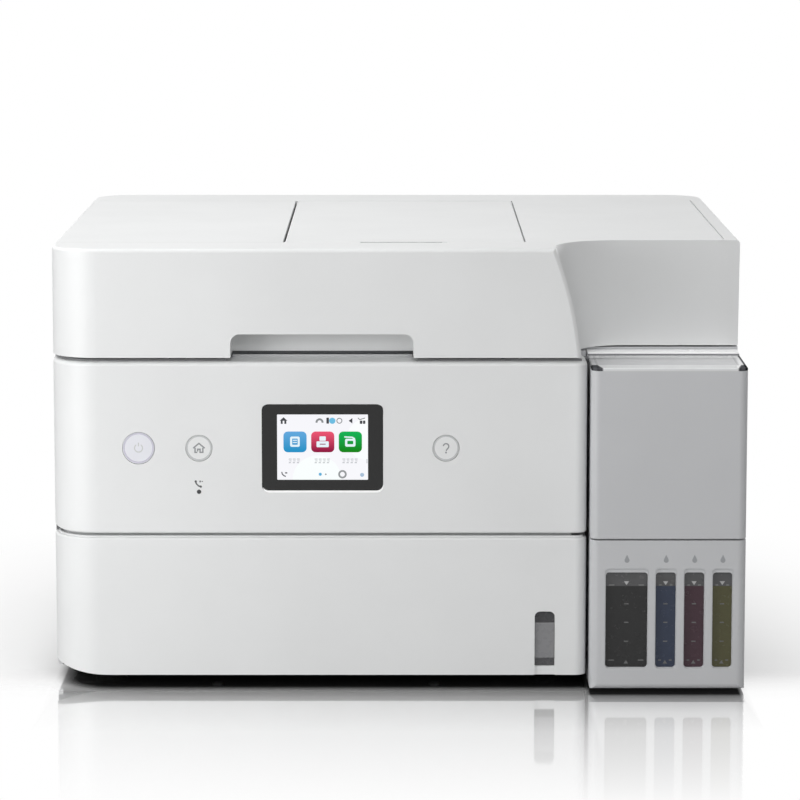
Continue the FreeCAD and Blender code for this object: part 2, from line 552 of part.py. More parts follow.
# Ink tank unit: housing with four windows, reservoirs, hinged caps and the big lid
tank_profile = [(TANK_FRONT, TANK_BOTTOM, 3), (TANK_FRONT, TANK_DECK, 0), (TOWER_FRONT, TANK_DECK, 0),
                (TOWER_FRONT, TANK_TOWER_TOP, 0.8), (TOWER_BACK, TANK_TOWER_TOP, 0.8), (TOWER_BACK,
                                        BASE_TOP, 0),
                (TANK_BACK, BASE_TOP, 0), (TANK_BACK, TANK_BOTTOM, 0)]
tank_hollow = [(TANK_FRONT + WALL, TANK_BOTTOM + WALL, 0), (TANK_FRONT + WALL, TANK_DECK - WALL, 0),
               (TOWER_FRONT + WALL, TANK_DECK - WALL, 0), (TOWER_FRONT + WALL, TANK_TOWER_TOP - WALL, 0),
               (TOWER_BACK - WALL, TANK_TOWER_TOP - WALL, 0), (TOWER_BACK - WALL, BASE_TOP - WALL, 0),
               (TANK_BACK - WALL, BASE_TOP - WALL, 0), (TANK_BACK - WALL, TANK_BOTTOM + WALL, 0)]


def tank_plan(inset, z0, z1):
    return plan([(TANK_LEFT + inset, TANK_BACK + 1, 0), (TANK_LEFT + inset, TANK_FRONT + inset, 4.5),
                 (TANK_RIGHT - inset, TANK_FRONT + inset, 4.5), (TANK_RIGHT - inset, TANK_BACK + 1, 0)],
                 z0, z1)


housing = side(tank_profile, TANK_LEFT, TANK_RIGHT).common(tank_plan(0, 0, HEIGHT))
housing = cut(housing, side(tank_hollow, TANK_LEFT + WALL, TANK_RIGHT - WALL))
for span in WINDOW_SPANS.values():
    bevel = rounded_front(span[0] - 0.4, span[1] + 0.4, WINDOW_LOW - 0.4, WINDOW_HIGH + 2.2, 2,
                          TANK_FRONT - 1, TANK_FRONT + 1)
    hole = rounded_front(span[0], span[1], WINDOW_LOW, WINDOW_HIGH, 1.8, TANK_FRONT - 1,
                         TANK_FRONT + WALL + 1)
    housing = cut(housing, bevel, hole)

LID_AXIS_Y = TOWER_FRONT - 3.2
LID_AXIS_Z = TANK_TOWER_TOP - 3.0
LID_PIN = 1.2
KNUCKLE_X = (TANK_LEFT + 11.0, TANK_RIGHT - 11.3)
KNUCKLE_WIDTH = 7.0
for knuckle_x in KNUCKLE_X:
    x0 = knuckle_x - KNUCKLE_WIDTH / 2
    x1 = knuckle_x + KNUCKLE_WIDTH / 2
    ear = box(x0, x1, LID_AXIS_Y, TOWER_FRONT + 1, LID_AXIS_Z - 2, LID_AXIS_Z + 2)
    housing = join(housing, ear, rod_x(2.0, x0, x1, LID_AXIS_Y, LID_AXIS_Z))
    housing = cut(housing, rod_x(LID_PIN + RUN_FIT, x0 - 1, x1 + 1, LID_AXIS_Y, LID_AXIS_Z))

NECK_Y = TANK_FRONT + 26.5
NECK_TOP = TANK_DECK + 9.8
CAP_AXIS_Y = NECK_Y + 20.0
CAP_AXIS_Z = NECK_TOP + 1.5
CAP_BAR = 1.5
NECKS = {}
for ink, span in WINDOW_SPANS.items():
    NECKS[ink] = ((span[0] + span[1]) / 2, 5.5 if ink == "bk" else 4.4)
for neck_x, neck_r in NECKS.values():
    housing = cut(housing, rod_z(neck_r + 0.3, TANK_DECK - WALL - 1, TANK_DECK + 1, neck_x, NECK_Y))
bar = rod_x(CAP_BAR, TANK_LEFT + 4, TANK_RIGHT - 3.3, CAP_AXIS_Y, CAP_AXIS_Z)
for post_inset in (4, 31.9, 47.4, 62.6, 78.5):
    post_x = TANK_LEFT + post_inset
    housing = join(housing, side([(CAP_AXIS_Y - 4, TANK_DECK - 0.5, 0), (CAP_AXIS_Y + 4, TANK_DECK - 0.5,
                   0),
                                  (CAP_AXIS_Y + 2.2, CAP_AXIS_Z + 2.2, 2), (CAP_AXIS_Y - 2.2,
                                        CAP_AXIS_Z + 2.2, 2)],
                                 post_x, post_x + 2.5))
housing = join(housing, bar)
save("tank_housing", housing)

TANK_TOP = TANK_DECK - 8.2
reservoirs = []
for ink, span in WINDOW_SPANS.items():
    neck_x, neck_r = NECKS[ink]
    margin = 2.5 if ink == "bk" else 1.6
    inner_front = TANK_FRONT + WALL
    floor_z = TANK_BOTTOM + WALL
    body = rounded_plan(span[0] - margin, span[1] + margin, inner_front, TANK_BACK - 22, 1.5, floor_z,
                        TANK_TOP)
    room = rounded_plan(span[0] - margin + 1.2, span[1] + margin - 1.2, inner_front + 1.5, TANK_BACK - 24,
                        0.8, floor_z + 1.5,
                        TANK_TOP - 1.5)
    neck = rod_z(neck_r, TANK_TOP - 1, NECK_TOP, neck_x, NECK_Y)
    bore = rod_z(neck_r - 1.3, TANK_TOP - 3, NECK_TOP + 1, neck_x, NECK_Y)
    reservoirs.append(cut(join(cut(body, room), neck), bore))
save("ink_tanks", *reservoirs)

for ink, (neck_x, neck_r) in NECKS.items():
    cap_low = NECK_TOP + 0.02
    disc = rod_z(neck_r + 1.2, cap_low, cap_low + 6, neck_x, NECK_Y)
    disc = soften(disc, 1.2, flat_at_z(cap_low + 6))
    plug = rod_z(neck_r - 2.0, cap_low - 2.5, cap_low + 1, neck_x, NECK_Y)
    plug = soften(plug, 0.6, flat_at_z(cap_low - 2.5))
    lever = box(neck_x - 3, neck_x + 3, NECK_Y + 2, CAP_AXIS_Y, CAP_AXIS_Z - 1.2, CAP_AXIS_Z + 2.6)
    eye = rod_x(2.9, neck_x - 3, neck_x + 3, CAP_AXIS_Y, CAP_AXIS_Z)
    tab = rounded_plan(neck_x - 4, neck_x + 4, NECK_Y - neck_r - 5, NECK_Y, 2, cap_low + 2, cap_low + 4.5)
    cap = join(disc, plug, lever, eye, tab)
    save("cap_" + ink, cut(cap, rod_x(CAP_BAR + RUN_FIT, neck_x - 4, neck_x + 4, CAP_AXIS_Y, CAP_AXIS_Z)))

# Tank lid: front, sides and roof, with a clear plate let into the roof
LID_BOTTOM = TANK_DECK + 0.6
LID_BACK = TOWER_FRONT - 2.0
LID_TOP = TANK_TOWER_TOP
CLEAR = 1.6
lid_plan = [(TANK_LEFT, LID_BACK, 0), (TANK_LEFT, TANK_FRONT, 4.5), (TANK_RIGHT, TANK_FRONT, 4.5),
            (TANK_RIGHT, LID_BACK, 0)]
lid_room = [(TANK_LEFT + WALL, LID_BACK + 1, 0), (TANK_LEFT + WALL, TANK_FRONT + WALL, 2),
            (TANK_RIGHT - WALL, TANK_FRONT + WALL, 2), (TANK_RIGHT - WALL, LID_BACK + 1, 0)]
lid = plan(lid_plan, LID_BOTTOM, LID_TOP - CLEAR)
lid = soften(lid, 0.8, lambda e: flat_at_z(LID_BOTTOM)(e) and e.BoundBox.YMin < LID_BACK - 0.1)
lid = cut(lid, plan(lid_room, LID_BOTTOM - 1, LID_TOP - CLEAR - 2.4))
clear_top = plan(lid_plan, LID_TOP - CLEAR, LID_TOP)
clear_top = soften(clear_top, 0.8, flat_at_z(LID_TOP))
for knuckle_x in KNUCKLE_X:
    half_gap = KNUCKLE_WIDTH / 2 + 0.5
    gap = box(knuckle_x - half_gap, knuckle_x + half_gap, LID_AXIS_Y - 3.2, LID_BACK + 1, LID_AXIS_Z - 6,
              LID_TOP + 1)
    left_lug = box(knuckle_x - half_gap - 4, knuckle_x - half_gap, LID_AXIS_Y - 3, LID_BACK,
                   LID_AXIS_Z - 1.8, LID_TOP - CLEAR)
    right_lug = box(knuckle_x + half_gap, knuckle_x + half_gap + 4, LID_AXIS_Y - 3, LID_BACK,
                    LID_AXIS_Z - 1.8, LID_TOP - CLEAR)
    pin = rod_x(LID_PIN, knuckle_x - half_gap - 3, knuckle_x + half_gap + 3, LID_AXIS_Y, LID_AXIS_Z)
    lid = join(cut(join(lid, left_lug, right_lug), gap), pin)
    clear_top = cut(clear_top, gap)
save("tank_lid", lid)
save("lid_top", clear_top)

# Scanner unit, lifting on the rear hinge: tub, top frame, glass, rail and sensor bar
GLASS_SPAN = (LEFT + 51.5, RIGHT - 27.5, FRONT + 65.3, BACK - 55.5)
STRIP_SPAN = (LEFT + 27.5, LEFT + 39.5, FRONT + 65.3, BACK - 55.5)
GLASS_TOP = SCANNER_TOP - 1.8
FRAME_LOW = SCANNER_TOP - 4.0
NOTCH_X = BAY_RIGHT + 0.6
NOTCH_Y = TOWER_BACK + 0.7
BACK_MASS = 9.0


def scanner_plan(inset, back_inset, z0, z1):
    return plan([(LEFT + inset, SCANNER_FRONT + inset, 0), (NOTCH_X - inset, SCANNER_FRONT + inset, 0),
                 (NOTCH_X - inset, NOTCH_Y + inset, 0), (RIGHT - inset, NOTCH_Y + inset, 0),
                 (RIGHT - inset, BACK - back_inset, BACK_ROUND - back_inset),
                 (LEFT + inset, BACK - back_inset, BACK_ROUND - back_inset)], z0, z1)


def back_chamfer(z, size):
    """Prism that takes off the lower rear edge of a hinged block."""
    return side([(BACK - size, z - 0.1, 0), (BACK + 1, z - 0.1, 0), (BACK + 1, z + size + 1, 0)],
                LEFT - 1, RIGHT + 1)


tub = scanner_plan(0, 0, SCANNER_BOTTOM, FRAME_LOW)
tub = cut(tub, scanner_plan(WALL, BACK_MASS, SCANNER_BOTTOM + WALL, FRAME_LOW + 1),
          back_chamfer(SCANNER_BOTTOM, 6))
for hinge_x in (-HINGE_X, HINGE_X):
    tub = cut(tub, hinge_slot(hinge_x, SCANNER_BOTTOM, LIFT_Y, LIFT_Z))
    tub = join(tub, hinge_pin(hinge_x, LIFT_Y, LIFT_Z))
save("scanner_tub", tub)

COVER_AXIS_Y = BACK - 6.0
COVER_AXIS_Z = COVER_BOTTOM + 5.3
COVER_HINGE_X = RIGHT - 57.5
top_frame = scanner_plan(0, 0, FRAME_LOW, SCANNER_TOP)
for x0, x1, y0, y1 in (GLASS_SPAN, STRIP_SPAN):
    top_frame = cut(top_frame, rounded_plan(x0, x1, y0, y1, 1.5, FRAME_LOW - 1, SCANNER_TOP + 1))
    top_frame = cut(top_frame, box(x0 - 3, x1 + 3, y0 - 3, y1 + 3, FRAME_LOW - 1, GLASS_TOP))
for hinge_x in (-COVER_HINGE_X, COVER_HINGE_X):
    top_frame = join(top_frame, hinge_post(hinge_x, SCANNER_TOP - 1, COVER_AXIS_Y, COVER_AXIS_Z))
save("scanner_frame", top_frame)

panes = []
for x0, x1, y0, y1 in (GLASS_SPAN, STRIP_SPAN):
    panes.append(box(x0 - 3, x1 + 3, y0 - 3, y1 + 3, FRAME_LOW, GLASS_TOP))
save("scan_glass", *panes)

SCAN_ROD_Y = FRONT + 166.3
SCAN_ROD_Z = SCANNER_BOTTOM + 10.4
save("scan_rail", rod_x(SHAFT, LEFT + WALL, RIGHT - WALL, SCAN_ROD_Y, SCAN_ROD_Z))
sensor = box(LEFT + 23.5, LEFT + 43.5, FRONT + 60.3, BACK - 49.5, SCANNER_BOTTOM + 18.4,
             SCANNER_BOTTOM + 33.2)
sensor = soften(sensor, 2, lambda e: e.BoundBox.YLength > 100 and e.BoundBox.ZMax < SCANNER_BOTTOM + 19)
lens = box(LEFT + 30.5, LEFT + 36.5, FRONT + 65.3, BACK - 54.5, SCANNER_BOTTOM + 33.2, SCANNER_BOTTOM + 34)
saddle = side([(SCAN_ROD_Y - 9, SCANNER_BOTTOM + 19.4, 0), (SCAN_ROD_Y + 9, SCANNER_BOTTOM + 19.4, 0),
               (SCAN_ROD_Y + 6, SCAN_ROD_Z - 5, 4),
               (SCAN_ROD_Y - 6, SCAN_ROD_Z - 5, 4)], LEFT + 23.5, LEFT + 43.5)
sensor = join(sensor, saddle, lens)
save("scan_carriage", cut(sensor, rod_x(SHAFT + RUN_FIT, LEFT + 21.5, LEFT + 45.5, SCAN_ROD_Y, SCAN_ROD_Z)))

# Document cover: one big shell with a swept hollow at the front right, hinged at the rear
SWOOP = ((COVER_BOTTOM - 1.2, RIGHT - 88.6, 26.0, FRONT + 54.5), (HEIGHT - 28, RIGHT - 93.7, 30.0,
         FRONT + 51.3),
         (HEIGHT + 1, RIGHT - 103.2, 36.0, FRONT + 47.8))
SWOOP_EDGE = 3.0
RECESS = (LEFT + 97.3, LEFT + 195.8, COVER_BOTTOM + 12.8, 22.0)


def swoop(grow):
    """Solid that hollows the front right corner behind a rounded edge, grown outwards by a wall."""
    wires = []
    slope = math.sqrt(0.5)
    e = SWOOP_EDGE - grow
    for z, edge_x, radius, back_y in SWOOP:
        x = edge_x - grow
        y = back_y + grow
        r = radius + grow
        start = edge_x - SWOOP_EDGE
        mid_y = FRONT + SWOOP_EDGE - 0.05
        edge = Part.Arc(V(start, mid_y - e, z), V(start + e * slope, mid_y - e * slope, z),
                        V(x, mid_y, z)).toShape()
        bend = Part.Arc(V(x, y - r, z), V(x + r * (1 - slope), y - r * (1 - slope), z),
                        V(x + r, y, z)).toShape()
        wires.append(Part.Wire([Part.makeLine(V(start, -220, z), V(start, mid_y - e, z)), edge,
                                Part.makeLine(V(x, mid_y, z), V(x, y - r, z)), bend,
                                Part.makeLine(V(x + r, y, z), V(220, y, z)),
                                Part.makeLine(V(220, y, z), V(220, -220, z)),
                                Part.makeLine(V(220, -220, z), V(start, -220, z))]))
    return Part.makeLoft(wires, True, False)


def recess_block(grow):
    x0, x1, z1, deep = RECESS
    return front([(x0 - grow, COVER_BOTTOM - 11, 0), (x1 + grow, COVER_BOTTOM - 11, 0), (x1 + grow,
                 z1 + grow, 5 + grow), (x0 - grow, z1 + grow, 5 + grow)],
                 FRONT - 1, FRONT + deep + grow)


ADF_SPLIT = LEFT + 125.5
ADF_FRONT = FRONT + 36.8
ADF_BACK = BACK - 44.0
ADF_LOW = HEIGHT - 22.2
ADF_AXIS_X = LEFT + WALL / 2
ADF_AXIS_Z = ADF_LOW + 0.4 + WALL / 2
ADF_PIN = 0.9
TRAY_AXIS_X = RIGHT - 119.7
TRAY_AXIS_Z = HEIGHT - 1.4
TRAY_PIN = 0.8
TRAY_EDGE = TRAY_AXIS_X + 2.0

cover_outer = plan([(LEFT, FRONT, FRONT_ROUND), (RIGHT, FRONT, 0), (RIGHT, BACK, BACK_ROUND), (LEFT, BACK,
                   BACK_ROUND)],
                   COVER_BOTTOM, HEIGHT)
cover_outer = soften(cover_outer, 2.0, flat_at_z(HEIGHT))
cover_outer = cut(cover_outer, swoop(0), back_chamfer(COVER_BOTTOM, 6))
cover_room = plan([(LEFT + WALL, FRONT + WALL, FRONT_ROUND - WALL), (RIGHT - WALL, FRONT + WALL, 0),
                   (RIGHT - WALL, BACK - BACK_MASS, BACK_ROUND - BACK_MASS),
                   (LEFT + WALL, BACK - BACK_MASS, BACK_ROUND - BACK_MASS)], COVER_BOTTOM - 1,
                   HEIGHT - WALL)
cover_room = cut(cover_room, swoop(WALL), recess_block(WALL))
cover_shell = cut(cover_outer, cover_room, recess_block(0))

adf_space = box(LEFT - 1, ADF_SPLIT, ADF_FRONT, ADF_BACK, ADF_LOW, HEIGHT + 1)
tray_space = box(ADF_SPLIT - 1, TRAY_EDGE, FRONT + 38.8, ADF_BACK, HEIGHT - 4, HEIGHT + 1)
finger_notch = rounded_plan(LEFT + 166.5, RIGHT - 160.5, FRONT + 33.3, FRONT + 40.3, 2, HEIGHT - 1.6,
                            HEIGHT + 1)
strip_groove = box(RIGHT - 8.9, RIGHT - 8.1, FRONT + 52.3, BACK - 40.5, HEIGHT - 1, HEIGHT + 1)
cover = cut(cover_shell, adf_space, tray_space, finger_notch, strip_groove)
cover = cut(cover, rod_y(ADF_PIN + RUN_FIT, ADF_FRONT - 4, ADF_BACK + 4, ADF_AXIS_X, ADF_AXIS_Z))
cover = cut(cover, rod_y(TRAY_PIN + RUN_FIT, ADF_FRONT - 2, ADF_BACK + 4, TRAY_AXIS_X, TRAY_AXIS_Z))
for hinge_x in (-COVER_HINGE_X, COVER_HINGE_X):
    cover = cut(cover, hinge_slot(hinge_x, COVER_BOTTOM, COVER_AXIS_Y, COVER_AXIS_Z))
    cover = join(cover, hinge_pin(hinge_x, COVER_AXIS_Y, COVER_AXIS_Z))
save("cover_housing", cover)

COVER_PLATE_TOP = COVER_BOTTOM + 2.5
cover_base = cover_room.common(box(LEFT, RIGHT, FRONT, BACK, COVER_BOTTOM, COVER_PLATE_TOP))
for hinge_x in (-COVER_HINGE_X, COVER_HINGE_X):
    cover_base = cut(cover_base, hinge_slot(hinge_x, COVER_BOTTOM, COVER_AXIS_Y, COVER_AXIS_Z))
save("cover_base", cover_base)
save("document_mat", rounded_plan(LEFT + 53.5, RIGHT - 29.5, FRONT + 67.3, BACK - 57.5, 3,
                                  GLASS_TOP + 0.5, COVER_BOTTOM))

# Sheet feeder in the cover: hinged cover, folding tray, frame, edge guide and two rollers
adf_piece = cut(cover_outer, cover_room)
adf_cover = adf_piece.common(box(LEFT - 1, ADF_SPLIT - 0.9, ADF_FRONT + SEAM, ADF_BACK - SEAM, ADF_AXIS_Z,
                                 HEIGHT + 1))
adf_edge = rod_y(WALL / 2, ADF_FRONT + SEAM, ADF_BACK - SEAM, ADF_AXIS_X, ADF_AXIS_Z)
adf_pins = rod_y(ADF_PIN, ADF_FRONT - 3.5, ADF_BACK + 3.5, ADF_AXIS_X, ADF_AXIS_Z)
adf_cover = join(adf_cover, adf_edge, adf_pins)
for rib in range(5):
    rib_y = ADF_FRONT + 24.5 + rib * (ADF_BACK - ADF_FRONT - 54) / 4
    adf_cover = join(adf_cover, box(LEFT + 2, ADF_SPLIT - 4, rib_y, rib_y + 2, HEIGHT - WALL - 3,
                                    HEIGHT - WALL + 0.2))
save("adf_cover", adf_cover)

tray_left = ADF_SPLIT + 0.3
adf_tray = rounded_plan(tray_left, TRAY_AXIS_X + 1.3, FRONT + 39.3, ADF_BACK - SEAM, 0.6, HEIGHT - 3.5,
                        HEIGHT)
adf_tray = soften(adf_tray, 0.7, lambda e: flat_at_z(HEIGHT)(e) and e.BoundBox.XMin > TRAY_AXIS_X)
adf_tray = join(adf_tray, rod_y(TRAY_PIN, ADF_FRONT - 1.5, ADF_BACK + 3.5, TRAY_AXIS_X, TRAY_AXIS_Z))
for rib in range(6):
    rib_y = ADF_FRONT + 20.5 + rib * (ADF_BACK - ADF_FRONT - 54) / 5
    adf_tray = join(adf_tray, box(tray_left + 6, TRAY_AXIS_X - 8, rib_y, rib_y + 2, HEIGHT - 5,
                                  HEIGHT - 3.4))
save("adf_tray", adf_tray)

FEED_X = LEFT + 62.5
FEED_Z = HEIGHT - 34.0
FEED_R = 14.0
PICK_X = LEFT + 109.5
PICK_Z = HEIGHT - 17.0
PICK_R = 7.0
ADF_SHAFT = 2.5
front_plate = box(LEFT + 9.5, LEFT + 129.5, FRONT + 33.3, ADF_FRONT - 0.5, COVER_PLATE_TOP, HEIGHT - 5)
rear_plate = box(LEFT + 9.5, LEFT + 129.5, ADF_BACK + 0.5, BACK - 40.5, COVER_PLATE_TOP, HEIGHT - 5)
span_front = ADF_FRONT - 1.0
span_back = ADF_BACK + 1.0
turn = rod_y(FEED_R + 5, span_front, span_back, FEED_X, FEED_Z)
turn = cut(turn, rod_y(FEED_R + 3, span_front - 1, span_back + 1, FEED_X, FEED_Z))
turn = turn.common(box(FEED_X - 30, FEED_X, span_front - 1, span_back + 1, 0, HEIGHT + 60))
shelf = front([(FEED_X - 2, FEED_Z + FEED_R + 4.8, 0), (LEFT + 87.5, HEIGHT - 27, 0), (RIGHT - 162.5,
              HEIGHT - 23, 0), (RIGHT - 162.5, HEIGHT - 25, 0), (LEFT + 87.5, HEIGHT - 29, 0),
               (FEED_X - 2, FEED_Z + FEED_R + 3.2, 0)], span_front, span_back)
stacker = front([(LEFT + 83.5, COVER_PLATE_TOP, 0), (RIGHT - 127.5, COVER_PLATE_TOP, 0), (RIGHT - 127.5,
                HEIGHT - 50, 0), (LEFT + 83.5, HEIGHT - 54, 0)], span_front, span_back)
adf_frame = join(front_plate, rear_plate, turn, shelf, stacker)
for axle_x, axle_z in ((FEED_X, FEED_Z), (PICK_X, PICK_Z)):
    adf_frame = cut(adf_frame, rod_y(ADF_SHAFT + RUN_FIT, FRONT + 31.3, BACK - 38.5, axle_x, axle_z))
adf_frame = cut(adf_frame, box(PICK_X - 12, PICK_X + 12, FRONT + 137.3, FRONT + 185.3, HEIGHT - 35,
                               HEIGHT - 21))
save("adf_frame", adf_frame)

feed_roller_adf = rod_y(ADF_SHAFT, FRONT + 33.3, BACK - 40.5, FEED_X, FEED_Z)
for number in range(4):
    tyre_y = ADF_FRONT + 32.5 + number * (ADF_BACK - ADF_FRONT - 98) / 3
    feed_roller_adf = join(feed_roller_adf, rod_y(FEED_R, tyre_y, tyre_y + 26, FEED_X, FEED_Z))
save("adf_feed_roller", feed_roller_adf)
pick_roller = rod_y(ADF_SHAFT, FRONT + 33.3, BACK - 40.5, PICK_X, PICK_Z)
save("adf_pick_roller", join(pick_roller, rod_y(PICK_R, FRONT + 141.3, FRONT + 181.3, PICK_X, PICK_Z)))

guide_floor = HEIGHT - 22.6
edge_guide = box(LEFT + 137.5, RIGHT - 177.5, FRONT + 77.3, FRONT + 79.8, guide_floor, HEIGHT - 11)
edge_guide = soften(edge_guide, 5, lambda e: e.BoundBox.ZMin > HEIGHT - 12 and e.BoundBox.XLength < 0.1)
edge_foot = rounded_plan(LEFT + 141.5, LEFT + 193.5, FRONT + 77.3, FRONT + 99.3, 1, guide_floor,
                         guide_floor + 1.6)
save("adf_edge_guide", join(edge_guide, edge_foot))

# Print works: chassis with two rails, belt drive, carriage, platen, rollers and capping station
CHASSIS_Y = FRONT + 223.3
PLATE = 2.0
CHASSIS_X = RIGHT - 7.5
chassis = box(-CHASSIS_X, CHASSIS_X, CHASSIS_Y, CHASSIS_Y + PLATE, DECK_TOP, DECK_TOP + 53.5)
chassis = join(chassis, box(-CHASSIS_X, CHASSIS_X, CHASSIS_Y, CHASSIS_Y + 14, DECK_TOP, DECK_TOP + PLATE))
for wing_x in (-CHASSIS_X, CHASSIS_X - PLATE):
    wing = side([(FRONT + 143.3, DECK_TOP, 0), (CHASSIS_Y, DECK_TOP, 0), (CHASSIS_Y, DECK_TOP + 51, 0),
                 (FRONT + 201.3, DECK_TOP + 51, 6), (FRONT + 143.3, DECK_TOP + 35, 6)],
                wing_x, wing_x + PLATE)
    chassis = join(chassis, wing)
for number in range(6):
    hole_x = 30 - CHASSIS_X + number * (2 * CHASSIS_X - 110) / 5
    chassis = cut(chassis, rounded_front(hole_x, hole_x + 30, DECK_TOP + 7, DECK_TOP + 21, 3,
                                        CHASSIS_Y - 1, CHASSIS_Y + PLATE + 1))
RAIL_LOW = DECK_TOP + 27.0
RAIL_HIGH = RAIL_LOW + 6.0
FRONT_RAIL_TOP = DECK_TOP + 31.0
rear_rail = box(-CHASSIS_X + PLATE, CHASSIS_X - PLATE, CHASSIS_Y - 6, CHASSIS_Y, RAIL_LOW, RAIL_HIGH)
front_rail = box(-CHASSIS_X + PLATE, CHASSIS_X - PLATE, FRONT + 145.3, FRONT + 151.3, DECK_TOP + 23,
                 FRONT_RAIL_TOP)
chassis = join(chassis, rear_rail, front_rail)
FEED_ROLLER_Y = CHASSIS_Y - 9.5
FEED_ROLLER_Z = DECK_TOP + 9.0
EJECT_Y = CHASSIS_Y - 75.0
EJECT_Z = DECK_TOP + 8.0
PULLEY_X = CHASSIS_X - 12.0
PULLEY_Z = DECK_TOP + 46.0
PULLEY_R = 5.5
PULLEY_SHAFT = 1.5
for axle_y, axle_z in ((FEED_ROLLER_Y, FEED_ROLLER_Z), (EJECT_Y, EJECT_Z)):
    chassis = cut(chassis, rod_x(SHAFT + RUN_FIT, -CHASSIS_X - 1, CHASSIS_X + 1, axle_y, axle_z))
for axle_x in (-PULLEY_X, PULLEY_X):
    chassis = cut(chassis, rod_y(PULLEY_SHAFT + RUN_FIT, CHASSIS_Y - 1, CHASSIS_Y + PLATE + 1, axle_x,
                                 PULLEY_Z))
save("chassis", chassis)


def roller(y, z, radius, spans):
    """Shaft through both chassis wings with rubber sleeves."""
    shape = rod_x(SHAFT, -CHASSIS_X - 1.5, CHASSIS_X + 1.5, y, z)
    for x0, x1 in spans:
        shape = join(shape, rod_x(radius, x0, x1, y, z))
    return shape


save("feed_roller", roller(FEED_ROLLER_Y, FEED_ROLLER_Z, 5.5, [(-146, -96), (-76, -26), (-6, 44), (60,
     88)]))
save("eject_roller", roller(EJECT_Y, EJECT_Z, 5.0, [(-120, -108), (-80, -68), (-40, -28), (0, 12), (40,
     52)]))
pickup = rod_x(SHAFT, PAPER_MIDDLE - 30, PAPER_MIDDLE + 31, PICKUP_Y, PICKUP_Z)
save("pickup_roller", join(pickup, rod_x(12, PAPER_MIDDLE - 22, PAPER_MIDDLE + 22, PICKUP_Y, PICKUP_Z)))

PLATEN = (LEFT + 37.5, TANK_LEFT - 11.0)
platen = box(PLATEN[0], PLATEN[1], CHASSIS_Y - 67, CHASSIS_Y - 16.5, DECK_TOP + 6, DECK_TOP + 11.5)
for number in range(12):
    rib_x = PLATEN[0] + 4 + number * (PLATEN[1] - PLATEN[0] - 11) / 11
    platen = join(platen, side([(FRONT + 157.3, DECK_TOP + 11, 0), (FRONT + 205.3, DECK_TOP + 11, 0),
                                (FRONT + 203.3, DECK_TOP + 13, 0), (FRONT + 159.3, DECK_TOP + 13, 0)],
                                rib_x, rib_x + 1.6))
for leg_x in (PLATEN[0], PLATEN[1] - 8):
    platen = join(platen, box(leg_x, leg_x + 8, FRONT + 156.3, FRONT + 206.8, DECK_TOP, DECK_TOP + 6.5))
save("platen", platen)

pad_room = rounded_plan(RIGHT - 75.5, RIGHT - 29.5, FRONT + 169.3, FRONT + 199.3, 3, DECK_TOP + 8,
                        DECK_TOP + 14)
station = cut(rounded_plan(RIGHT - 83.5, RIGHT - 21.5, FRONT + 161.3, FRONT + 205.3, 3, DECK_TOP,
                           DECK_TOP + 11.5), pad_room)
lip = cut(rounded_plan(RIGHT - 73.5, RIGHT - 31.5, FRONT + 171.3, FRONT + 197.3, 3, DECK_TOP + 7.5,
                       DECK_TOP + 13.5), rounded_plan(RIGHT - 71.5, RIGHT - 33.5, FRONT + 173.3,
                                        FRONT + 195.3, 2, DECK_TOP + 9, DECK_TOP + 14))
save("capping_station", join(station, lip))

# Carriage parked over the capping station, with the print head beneath
CARRIAGE = (RIGHT - 87.5, RIGHT - 19.5)
x0, x1 = CARRIAGE
carriage = box(x0, x1, FRONT + 156.3, FRONT + 214.3, DECK_TOP + 18.5, DECK_TOP + 48)
carriage = soften(carriage, 3, lambda e: e.BoundBox.ZLength > 20)
carriage = cut(carriage, box(x0 + 3, x1 - 3, FRONT + 161.3, FRONT + 210.3, DECK_TOP + 22, DECK_TOP + 49))
for wall_number in range(3):
    wall_x = x0 + 17 + wall_number * 16
    carriage = join(carriage, box(wall_x, wall_x + 1.5, FRONT + 161.3, FRONT + 210.3, DECK_TOP + 21,
                                  DECK_TOP + 46))
upper_jaw = box(x0 + 4, x1 - 4, FRONT + 213.3, CHASSIS_Y - 0.6, RAIL_HIGH + 0.1, RAIL_HIGH + 3)
lower_jaw = box(x0 + 4, x1 - 4, FRONT + 213.3, CHASSIS_Y - 0.6, RAIL_LOW - 3, RAIL_LOW - 0.1)
front_shoe = box(x0 + 8, x1 - 8, FRONT + 146.3, FRONT + 157.3, FRONT_RAIL_TOP + 0.1, FRONT_RAIL_TOP + 3)
save("carriage", join(carriage, upper_jaw, lower_jaw, front_shoe))
HEAD_LOW = DECK_TOP + 14.6
head = box(x0 + 10, x1 - 10, CHASSIS_Y - 54, CHASSIS_Y - 24, HEAD_LOW, DECK_TOP + 18.5)
head = soften(head, 1.2, flat_at_z(HEAD_LOW))
save("print_head", head)

BELT_GAP = 0.3
BELT = 1.2
inner_r = PULLEY_R + BELT_GAP
outer_r = inner_r + BELT
belt_y0 = CHASSIS_Y - 5.5
belt_y1 = CHASSIS_Y - 1.5
loop = [(-PULLEY_X - outer_r, PULLEY_Z - outer_r, outer_r), (PULLEY_X + outer_r, PULLEY_Z - outer_r,
        outer_r),
        (PULLEY_X + outer_r, PULLEY_Z + outer_r, outer_r), (-PULLEY_X - outer_r, PULLEY_Z + outer_r,
                                        outer_r)]
hole = [(-PULLEY_X - inner_r, PULLEY_Z - inner_r, inner_r), (PULLEY_X + inner_r, PULLEY_Z - inner_r,
        inner_r),
        (PULLEY_X + inner_r, PULLEY_Z + inner_r, inner_r), (-PULLEY_X - inner_r, PULLEY_Z + inner_r,
                                        inner_r)]
belt_tab = box(LEFT + 183.5, LEFT + 191.5, belt_y1 - 0.5, CHASSIS_Y, PULLEY_Z + inner_r, PULLEY_Z + outer_r)
save("carriage_belt", join(cut(front(loop, belt_y0, belt_y1), front(hole, belt_y0 - 1, belt_y1 + 1)),
                           belt_tab))


